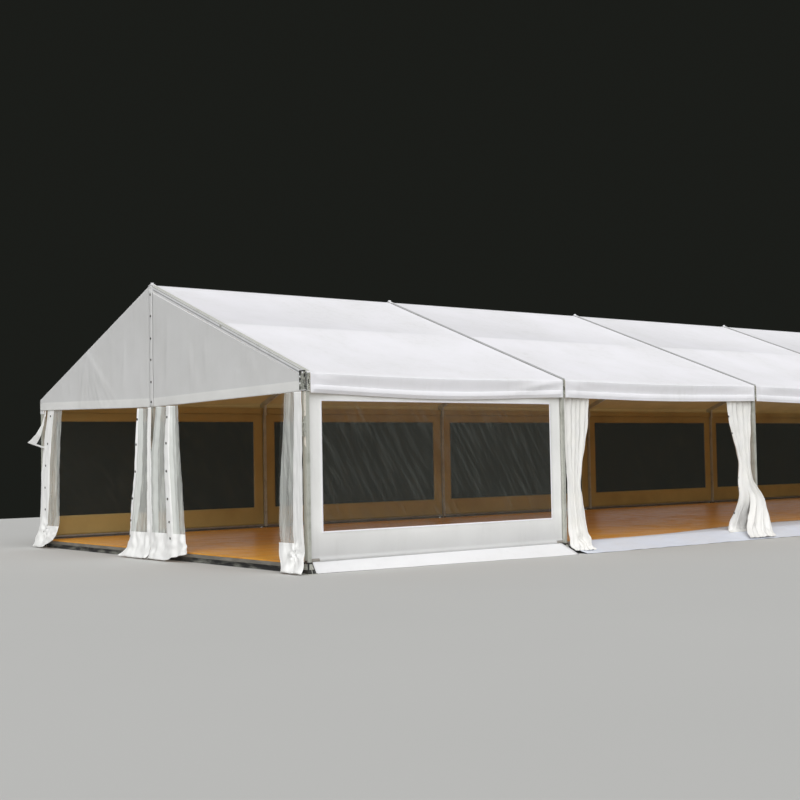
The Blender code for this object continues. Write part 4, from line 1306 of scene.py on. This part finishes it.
CORNER_STUDS = [2.49, 1.98, 1.56, 1.14, 0.73, 0.31]


def gable_place(carrier):
    """The open gable's own axes."""
    return Place((-HALF_LENGTH, 0, 0), (0, 1.0, 0), (-1.0, 0, 0), carrier=carrier)


def gable_curtain(side, replaced, levels, profiles, seed, clear, lift=(0, 0), studs=None,
                  heights=BORDER_STUDS, knot=None):
    """One drawn-back sheet of the gable's wall: clear film between white borders, over a white foot.

    clear lists the shares of its width that are film, and which. studs is the share of its width where its
    press studs are, and heights are theirs. lift and knot are those of drape.
    """
    place = gable_place("gable_post_near")
    rng = np.random.default_rng(seed)
    points, z = drape(place, levels, GABLE_PLEATS, rng, lambda t: 0 * t, GABLE_CRINKLE, profiles,
                      lift=lift, knot=knot)
    share = cell_shares(DRAPE_COLUMNS - 1)
    above_foot = middles(z) > CLEAR_FOOT
    slots = np.zeros((DRAPE_ROWS - 1, DRAPE_COLUMNS - 1), int)
    for number, (start, end, _) in enumerate(clear):
        slots[np.outer(above_foot, (share > start) & (share < end))] = number + 1
    name = f"gable_curtain_{side}"
    looks = ["curtain"] + [film for _, _, film in clear]
    make_curtain(name, replaced, place, points, looks, slots=slots.ravel())
    if studs:
        make_studs(name + "_studs", place, points, z, round(studs * (DRAPE_COLUMNS - 1)), heights)


def make_gable_curtains():
    """The gable's sheets, drawn back to the corners and to the middle post."""
    gable_curtain("middle_left", "gable_curtain_middle", MIDDLE_LEFT, MIDDLE_LEFT_FOLDS, 601,
                  [(0.09, 0.27, "gathered_film"), (0.27, 0.78, "veil_film")], studs=0.045)
    gable_curtain("middle_right", "gable_curtain_middle", MIDDLE_RIGHT, MIDDLE_RIGHT_FOLDS, 602,
                  [(-1, 0.23, "gathered_film"), (0.23, 0.49, "veil_film"), (0.70, 0.86, "gathered_film"),
                   (0.86, 2, "veil_film")], lift=(0, 0.13), studs=0.60)
    gable_curtain("right", "gable_curtain_front", CORNER_RIGHT, CORNER_RIGHT_FOLDS, 603,
                  [(-1, 0.10, "film"), (0.10, 0.6, "veil_film")], knot=(-4.37, 0.28))
    gable_curtain("left", "gable_curtain_back", CORNER_LEFT, CORNER_LEFT_FOLDS, 604,
                  [(-1, 0.55, "veil_film")], lift=(0.15, 0), studs=0.74, heights=CORNER_STUDS,
                  knot=(4.16, 0.36))
    make_loose_flap()


FLAP_INNER = [(4.13, 2.60), (4.16, 2.35), (4.20, 2.10), (4.23, 1.89)]
FLAP_OUTER = [(4.15, 2.60), (4.31, 2.34), (4.51, 2.17), (4.91, 2.01)]
FLAP_COLUMNS = 25
FLAP_ROWS = 35


def make_loose_flap():
    """The unfastened corner of the gable's sheet, blown out beyond the corner leg."""
    place = gable_place("gable_curtain_left")
    rng = np.random.default_rng(605)
    across, down = np.meshgrid(np.linspace(0, 1, FLAP_COLUMNS + 1), np.linspace(0, 1, FLAP_ROWS + 1))
    knots = np.linspace(0, 1, len(FLAP_INNER))
    (inner_s, inner_z), (outer_s, outer_z) = zip(*FLAP_INNER), zip(*FLAP_OUTER)
    s = (1 - across) * np.interp(down, knots, inner_s) + across * np.interp(down, knots, outer_s)
    z = (1 - across) * np.interp(down, knots, inner_z) + across * np.interp(down, knots, outer_z)
    z -= 0.03 * down * np.sin(np.pi * across)
    curl = 0.07 * down * np.sin(np.pi * across) ** 2 - 0.05 * down * across
    t = 0.105 - curl + ripples(s, z, rng, 0.35, 0.008) * down
    points = place.points(s, t, z)
    middle_across, middle_down = np.meshgrid(cell_shares(FLAP_COLUMNS), cell_shares(FLAP_ROWS))
    is_clear = (middle_across < 0.70) & (middle_down > 0.14) & (middle_down < 0.95)
    piece = sheet_piece("gable_loose_flap", points, ["curtain", "film"], WALL_THICK, place.outward,
                        slots=is_clear.ravel())
    width, length = flat_size(points)


def make_entrance_strip():
    """The pale strip laid over the floor's edge and down to the ground along the open front."""
    inner, edge, outer = abs(STRIP_HIGH.y), abs(FLOOR_LOW.y), abs(STRIP_LOW.y)
    y = np.concatenate([np.linspace(inner, edge, 8), np.linspace(edge, HALF_SPAN + STRIP_NOTCH_OUT, 9)[1:],
                        np.linspace(HALF_SPAN + STRIP_NOTCH_OUT, outer, 10)[1:]])
    notched = [x for x in FRAME_X if STRIP_LOW.x < x < STRIP_HIGH.x]
    notches = [[n - STRIP_NOTCH, n + STRIP_NOTCH] for n in notched]
    x = np.sort(np.concatenate([np.linspace(STRIP_LOW.x, STRIP_HIGH.x, STRIP_COLUMNS), *notches]))
    across, out = np.meshgrid(x, y)
    rng = np.random.default_rng(700)
    waves = np.abs(ripples(across, out * 2, rng, 0.6, 0.004)) * smooth_step((out - edge) / 0.1)
    z = strip_height(out) + waves
    askew = STRIP_ASKEW * smooth_step((across - STRIP_ASKEW_FROM) / STRIP_ASKEW_RUN)
    askew = askew * np.clip((edge - out) / (edge - inner), 0, 1)
    middle_x, middle_y = middles(x), middles(y)
    near_leg = np.min([np.abs(middle_x - n) for n in notched], axis=0) < STRIP_NOTCH
    keep = ~np.outer((middle_y < HALF_SPAN + STRIP_NOTCH_OUT) & (middle_y > edge - 0.001), near_leg)
    points = np.stack([across, askew - out, z], axis=2)
    piece = sheet_piece("entrance_strip_cloth", points, ["strip"], STRIP_THICK, (0, 0, 1), keep)
    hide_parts("entrance_strip")
    flat_size(points)


# Fittings

SEAM_STRIP = (-0.045, 0.065)
SEAM_STUDS = [4.38, 4.02, 3.645, 3.29, 2.92, 2.59]
CAP_HEIGHT = 0.012
PLATE_THICK = 0.003
PLATE_STAND = 0.020
PLATE_REACH = 0.085
PLATE_TOP = EAVES_HEIGHT - 0.012
FOOT_PLATE = 0.012
FOOT_WIDTH = 0.16
FOOT_LENGTH = 0.24
GUSSET_HALF = 0.005
SHOE_WIDTH = 0.128
SHOE_LENGTH = 0.20
SHOE_TOP = 0.165
FACING_HALF = 0.046
GUSSET_TOP = 0.15
PLATE_RIM = 0.016
COLLAR_SHARES = (0.34, 0.84)
COLLAR_TRIM = 0.020
TRACK_REACH = HALF_SPAN + BRACKET_DEPTH / 2 - 0.004
TRACK_SPREAD = 0.012
STRAP_HALF = 0.019
STRAP_THICK = 0.003
BUCKLE_LENGTH = 0.30
PAD_HALF = 0.036
PAD_REACH = 0.08
# Each band on a gable's rafter: the depths of its edges below the rafter's top, and its slot
GABLE_BANDS = ((0.056, 0.074, 1), (0.016, 0.026, 3))


def down_slopes(bits, outline, reach, slot=0):
    """An outline at the ridge, drawn out down both slopes of the roof."""
    for slope in (-1, 1):
        bits.prism(outline, (0, slope * reach, -reach * math.tan(SLOPE)), slot)


def make_gable_trim():
    """What finishes a gable: the strip and studs on its middle seam, two bands on its rafter and the cap."""
    for end, where in GABLES:
        face = end * (GABLE_FACE + GAP + WALL_THICK + 0.004)
        z = np.linspace(gable_hem(0), float(roof_line(0, RAFTER_DEPTH * 0.8)), 40)
        y = np.linspace(*SEAM_STRIP, 6)
        across, height = np.meshgrid(y, z)
        rng = np.random.default_rng(800 + end)
        stand = np.abs(ripples(across, height, rng, 0.4, 0.001))
        stand = stand + 0.002 * np.sin(np.pi * (across - y[0]) / (y[-1] - y[0]))
        points = np.stack([face + end * stand, across, height], axis=2)
        strip = sheet_piece(f"gable_seam_strip_{where}", points, ["gable"], WALL_THICK, (end, 0, 0))
        flat_size(points)
        bits = Bits()
        for height in SEAM_STUDS:
            bits.disc((face + end * 0.0015, 0.008, height), (end, 0, 0), STUD_RADIUS, 0.005, slot=2)
        y0, y1 = -(HALF_SPAN - BRACKET_DEPTH / 2 - 0.004), -0.06
        for upper, lower, slot in GABLE_BANDS:
            outline = [(end * GABLE_FACE, y, float(roof_line(y, below)))
                       for y, below in ((y0, lower), (y1, lower), (y1, upper), (y0, upper))]
            bits.prism(outline, (end * 0.0012, 0, 0), slot)
        centre = end * HALF_LENGTH
        outline = [(centre + HALF_LEG * math.cos(a), 0, RIDGE_HEIGHT - 0.002 + CAP_HEIGHT * math.sin(a))
                   for a in np.linspace(0, math.pi, 13)]
        down_slopes(bits, outline, TRACK_REACH, 3)
        trim = bits.piece(f"gable_trim_{where}", ["pale_aluminium", "track", "dark", "facing"])


def slot_outline(centre_y, centre_z, width, height, x):
    """A slot's rounded outline on a face across X."""
    radius = width / 2
    straight = height / 2 - radius
    points = []
    for turn, offset in ((0, straight), (math.pi, -straight)):
        for angle in np.linspace(turn, turn + math.pi, 9):
            z = centre_z + offset + radius * math.sin(angle)
            points.append((x, centre_y + radius * math.cos(angle), z))
    return points


def make_brackets():
    """Slotted steel plates and bolt heads on the eaves' outer faces, and the gables' corner plates."""
    bits = Bits()
    for x in FRAME_X:
        for side in (-1, 1):
            face = side * (HALF_SPAN + BRACKET_DEPTH / 2)
            low, high = LEG_TOP + 0.006, float(roof_line(face, 0.02))
            x0, x1 = x - HALF_LEG + 0.001, x + HALF_LEG - 0.001
            outline = [(x0, face, low), (x1, face, low), (x1, face, high), (x0, face, high)]
            bits.prism(outline, (0, side * PLATE_THICK, 0))
            for z in (low + 0.045, high - 0.04):
                bits.disc((x, face + side * PLATE_THICK, z), (0, side, 0), 0.010, 0.006, sides=6)
            middle = [(x + point[1], face + side * PLATE_THICK, point[2])
                      for point in slot_outline(0, (low + high) / 2, 0.014, 0.075, 0)]
            bits.prism(middle, (0, side * 0.0008, 0), 1)
    bits.piece("eaves_brackets", ["bracket", "hole"])
    for end, where in GABLES:
        make_corner_plate(f"corner_plate_{where}", end)


def make_corner_plate(name, end):
    """The slotted steel plate over a gable's front corner, with its dark block and rim and bright foot."""
    bits = Bits()
    face = end * (GABLE_FACE + GAP)
    block = end * (PLATE_STAND - PLATE_THICK)
    y0, y1 = -(HALF_SPAN + BRACKET_DEPTH / 2 - 0.002), -(HALF_SPAN - PLATE_REACH)
    low, high = LEG_TOP + 0.004, PLATE_TOP
    block_y = -(HALF_SPAN - BRACKET_DEPTH / 2 + 0.002)
    outline = [(face, y0, low), (face, block_y, low), (face, block_y, high - 0.01), (face, y0, high - 0.03)]
    bits.prism(outline, (block, 0, 0), 1)
    bits.prism(across_x(face + block, y0, y1, low, high), (end * PLATE_THICK, 0, 0))
    plate = face + block + end * PLATE_THICK
    bits.prism(across_x(plate, y0 + 0.010, y1 - 0.006, high, high - PLATE_RIM), (end * 0.003, 0, 0), 1)
    foot0, foot1 = sorted((plate, plate + end * 0.006))
    bits.box((foot0, y0, low), (foot1, y1, low + 0.008), 2)
    slots = ((y1 - 0.024, 2.795, 0.038, 0.075), (y1 - 0.024, 2.705, 0.038, 0.060),
             (y1 - 0.018, 2.595, 0.028, 0.055), (y0 + 0.022, 2.765, 0.036, 0.055),
             (y0 + 0.014, 2.615, 0.018, 0.080), (-4.525, 2.675, 0.010, 0.055))
    washers = ((y1 - 0.020, 2.752, 0.013), (y1 - 0.020, 2.655, 0.014), (-4.50, 2.805, 0.016))
    bolts = ((-4.47, 2.62), (-4.50, 2.735), (-4.45, 2.69))
    for y, z, width, height in slots:
        bits.prism(slot_outline(y, z, width, height, plate), (end * 0.0012, 0, 0), 1)
    for y, z, radius in washers:
        bits.disc((plate, y, z), (end, 0, 0), radius, 0.005, slot=2)
    for y, z in bolts:
        bits.disc((plate, y, z), (end, 0, 0), 0.012, 0.007, sides=6)
    bits.piece(name, ["bracket", "hole", "pale_aluminium"])


def make_feet():
    """Dark steel covers of the legs' base plates, their gussets' edges, and the pins through them."""
    bits = Bits()
    places = [(x, side * HALF_SPAN) for x in FRAME_X for side in (-1, 1)]
    half_x, half_y = FOOT_WIDTH / 2, FOOT_LENGTH / 2
    for x, y in places:
        top = FOOT_PLATE + GAP
        for side in (-1, 1):
            y0, y1 = sorted((y + side * (LEG_DEPTH / 2 + 0.004), y + side * (half_y - 0.002)))
            bits.box((x - half_x + 0.002, y0, top), (x + half_x - 0.002, y1, top + 0.003))
            for along in (-1, 1):
                spot = (x + along * 0.045, y + side * (half_y - 0.030), top + 0.003)
                bits.disc(spot, (0, 0, 1), 0.016, 0.022, sides=12)
            for face in (-1, 1):
                offset = face * (GUSSET_HALF + GAP)
                outline = [(x + offset, y + side * (LEG_DEPTH / 2 + 0.002), top + 0.004),
                           (x + offset, y + side * (half_y - 0.014), top + 0.004),
                           (x + offset, y + side * (LEG_DEPTH / 2 + 0.014), GUSSET_TOP - 0.004),
                           (x + offset, y + side * (LEG_DEPTH / 2 + 0.002), GUSSET_TOP - 0.004)]
                bits.prism(outline, (face * 0.002, 0, 0))
        make_shoe(bits, x, y)
    bits.piece("leg_feet", ["foot", "steel"])


def leaning_plates(bits, x, y, low, high, thick, slot, trim=0):
    """Four plates round a leg, from one rectangle to a higher one. Each is its half sizes and its height.

    trim is how far each plate's upright edges stay from the next plate's.
    """
    (x0, y0, z0), (x1, y1, z1) = low, high
    for side in (-1, 1):
        outline = [(x + side * x0, y - y0 + trim, z0), (x + side * x0, y + y0 - trim, z0),
                   (x + side * x1, y + y1 - trim, z1), (x + side * x1, y - y1 + trim, z1)]
        bits.prism(outline, (side * thick, 0, 0), slot)
        outline = [(x - x0 + trim, y + side * y0, z0), (x + x0 - trim, y + side * y0, z0),
                   (x + x1 - trim, y + side * y1, z1), (x - x1 + trim, y + side * y1, z1)]
        bits.prism(outline, (0, side * thick, 0), slot)


def make_shoe(bits, x, y):
    """Four sloping dark steel plates round a leg's foot, with a plain steel collar and a pin over them."""
    foot = Vector((SHOE_WIDTH / 2, SHOE_LENGTH / 2, FOOT_PLATE + 0.005))
    neck = Vector((LEG_WIDTH / 2 + 0.004, LEG_DEPTH / 2 + 0.004, SHOE_TOP))
    leaning_plates(bits, x, y, foot, neck, 0.004, 0)
    over = Vector((0.005, 0.005, 0))
    low, high = (foot.lerp(neck, share) + over for share in COLLAR_SHARES)
    leaning_plates(bits, x, y, low, high, 0.003, 1, COLLAR_TRIM)
    bits.tube([(x + side * (neck.x + 0.012), y, SHOE_TOP + 0.012) for side in (-1, 1)], 0.012)


def make_leg_facings():
    """The pale tracks down the outer faces of the gables' corner legs."""
    bits = Bits()
    for end in (-1, 1):
        for y in (-HALF_SPAN, HALF_SPAN):
            y0, y1 = y - FACING_HALF, y + FACING_HALF
            outline = across_x(end * GABLE_FACE, y0, y1, SHOE_TOP + 0.03, LEG_TOP - 0.005)
            bits.prism(outline, (end * 0.002, 0, 0))
    bits.piece("leg_facings", ["facing"])


def make_rafter_tracks():
    """The weathered tracks along the tops of the inner rafters, between two covers."""
    bits = Bits()
    half = HALF_LEG + TRACK_SPREAD
    for x in FRAME_X[1:-1]:
        outline = [(x + side * half, 0, RIDGE_HEIGHT + rise)
                   for side, rise in ((-1, 0.0006), (1, 0.0006), (1, 0.0022), (-1, 0.0022))]
        down_slopes(bits, outline, TRACK_REACH)
    bits.piece("rafter_tracks", ["track"])


def ratchet(bits, x, y, end, top, bottom):
    """A strap down a leg's face with a ratchet buckle at its lower part."""
    half, upper, lower = STRAP_HALF, bottom + BUCKLE_LENGTH, bottom
    bits.prism(across_x(x, y - half, y + half, top, upper), (end * STRAP_THICK, 0, 0), 1)
    body = x + end * STRAP_THICK
    for edge in (-1, 1):
        inner, outer = y + edge * (half + 0.001), y + edge * (half + 0.005)
        outline = [(body, inner, lower + 0.06), (body + end * 0.022, inner, lower + 0.08),
                   (body + end * 0.030, inner, upper - 0.09), (body + end * 0.012, inner, upper - 0.02),
                   (body, inner, upper - 0.02)]
        bits.prism(outline, (0, outer - inner, 0))
        lever = [(body + end * 0.008, outer, upper - 0.11), (body + end * 0.034, outer, upper - 0.10),
                 (body + end * 0.030, outer, lower + 0.015), (body + end * 0.014, outer, lower + 0.01)]
        bits.prism(lever, (0, edge * 0.004, 0))
    for out, z, past, radius in ((0.018, upper - 0.10, 0.012, 0.011), (0.020, lower + 0.02, 0.008, 0.006)):
        bits.tube([(body + end * out, y + side * (half + past), z) for side in (-1, 1)], radius)
    tail = [(body, y - half, upper - 0.12), (body, y + half, upper - 0.12), (body, y + half, lower - 0.10),
            (body, y - half, lower - 0.14)]
    bits.prism(tail, (end * STRAP_THICK, 0, 0), 1)


def make_straps():
    """Ratchet straps that tension the covers down the corner legs and the gable's middle post."""
    bits = Bits()
    face = GABLE_FACE + 0.002
    ratchet(bits, -face, -HALF_SPAN - 0.024, -1, 2.545, 1.90)
    ratchet(bits, -face, 0.030, -1, 2.48, 1.93)
    for side in (-1, 1):
        ratchet(bits, face, side * HALF_SPAN, 1, 2.52, 1.97)
    bits.piece("ratchet_straps", ["steel", "strap"])


def make_ridge_caps():
    """The small pale pads and knobs where each frame's rafters meet at the ridge."""
    bits = Bits()
    for x in FRAME_X:
        outline = [(x + side * PAD_HALF, 0, RIDGE_HEIGHT + rise)
                   for side, rise in ((-1, 0.001), (1, 0.001), (1, 0.010), (-1, 0.010))]
        down_slopes(bits, outline, PAD_REACH)
        bits.tube([(x, 0, RIDGE_HEIGHT + 0.005), (x, 0, RIDGE_HEIGHT + 0.018)], 0.024, sides=18)
        bits.disc((x, 0, RIDGE_HEIGHT + 0.018), (0, 0, 1), 0.028, 0.010)
    bits.piece("ridge_caps", ["pale_aluminium"])


# Stage, light and camera

LENS = 59.76
CAMERA_PLACE = (-22.907, -19.865, 1.604)
CAMERA_YAW = math.radians(38.178)
CAMERA_PITCH = math.radians(2.454)
CAMERA_ROLL = math.radians(-1.026)
STAGE_RADIUS = 27
STAGE_CENTRE = (-7, -9)
STAGE_SIDES = 96
STAGE_LIGHT = srgb(200, 200, 198)
STAGE_DARK = srgb(196, 196, 194)
SKY = (0.011, 0.012, 0.010, 1)
# Each sun: the direction towards it, its strength and its width in degrees
KEY_LIGHT = ((-0.432, -0.617, 0.657), 3.2, 80)
BACK_LIGHT = ((0.5, 0.7, 0.8), 0.8, 120)


def make_camera():
    """A camera at the photograph's viewpoint. Yaw turns from +Y towards +X."""
    ahead = Vector((math.cos(CAMERA_PITCH) * math.sin(CAMERA_YAW),
                    math.cos(CAMERA_PITCH) * math.cos(CAMERA_YAW), math.sin(CAMERA_PITCH)))
    right = ahead.cross(Vector((0, 0, 1))).normalized()
    up = right.cross(ahead)
    c, s = math.cos(CAMERA_ROLL), math.sin(CAMERA_ROLL)
    right, up = c * right + s * up, -s * right + c * up
    camera = bpy.data.objects.new("camera", bpy.data.cameras.new("camera"))
    camera.data.lens = LENS
    camera.data.sensor_width = 36
    camera.data.clip_end = 500
    matrix = Matrix((right, up, -ahead)).transposed().to_4x4()
    matrix.translation = CAMERA_PLACE
    camera.matrix_world = matrix
    bpy.context.scene.collection.objects.link(camera)
    bpy.context.scene.camera = camera


def make_stage():
    """The pale studio floor."""
    mesh = bpy.data.meshes.new("studio_floor")
    centre = Vector((*STAGE_CENTRE, -0.001))
    rim = ring(centre, Vector((1, 0, 0)), Vector((0, 1, 0)), STAGE_RADIUS, STAGE_SIDES)
    mesh.from_pydata(rim, [], [tuple(range(STAGE_SIDES))])
    finish = Finish("studio_floor", roughness=0.9, specular=0.2)
    clouds = finish.noise(0.2, detail=2)
    mesh.materials.append(finish.set(base_color=finish.blend(clouds, STAGE_DARK, STAGE_LIGHT)))
    floor = bpy.data.objects.new("studio_floor", mesh)
    bpy.context.scene.collection.objects.link(floor)


def add_sun(name, towards, strength, softness):
    """A soft light from a direction, given as a vector towards the light."""
    light = bpy.data.lights.new(name, "SUN")
    light.energy = strength
    light.angle = math.radians(softness)
    obj = bpy.data.objects.new(name, light)
    obj.rotation_mode = "QUATERNION"
    obj.rotation_quaternion = Vector(towards).to_track_quat("Z", "Y")
    bpy.context.scene.collection.objects.link(obj)


def make_lights():
    """A dim even sky and two soft suns."""
    world = bpy.data.worlds.new("studio")
    world.use_nodes = True
    background = world.node_tree.nodes["Background"]
    background.inputs["Color"].default_value = SKY
    bpy.context.scene.world = world
    add_sun("key_light", *KEY_LIGHT)
    add_sun("back_light", *BACK_LIGHT)
    bpy.context.scene.view_settings.view_transform = "Standard"


def main():
    """Everything in the scene, from the camera to the ridge caps."""
    make_camera()
    make_stage()
    make_lights()
    dress_frame()
    make_roof_covers()
    make_gable_sheets()
    make_walls()
    make_floor()
    make_entrance_strip()
    make_front_curtains()
    make_gable_curtains()
    make_gable_trim()
    make_brackets()
    make_feet()
    make_leg_facings()
    make_rafter_tracks()
    make_straps()
    make_ridge_caps()


main()
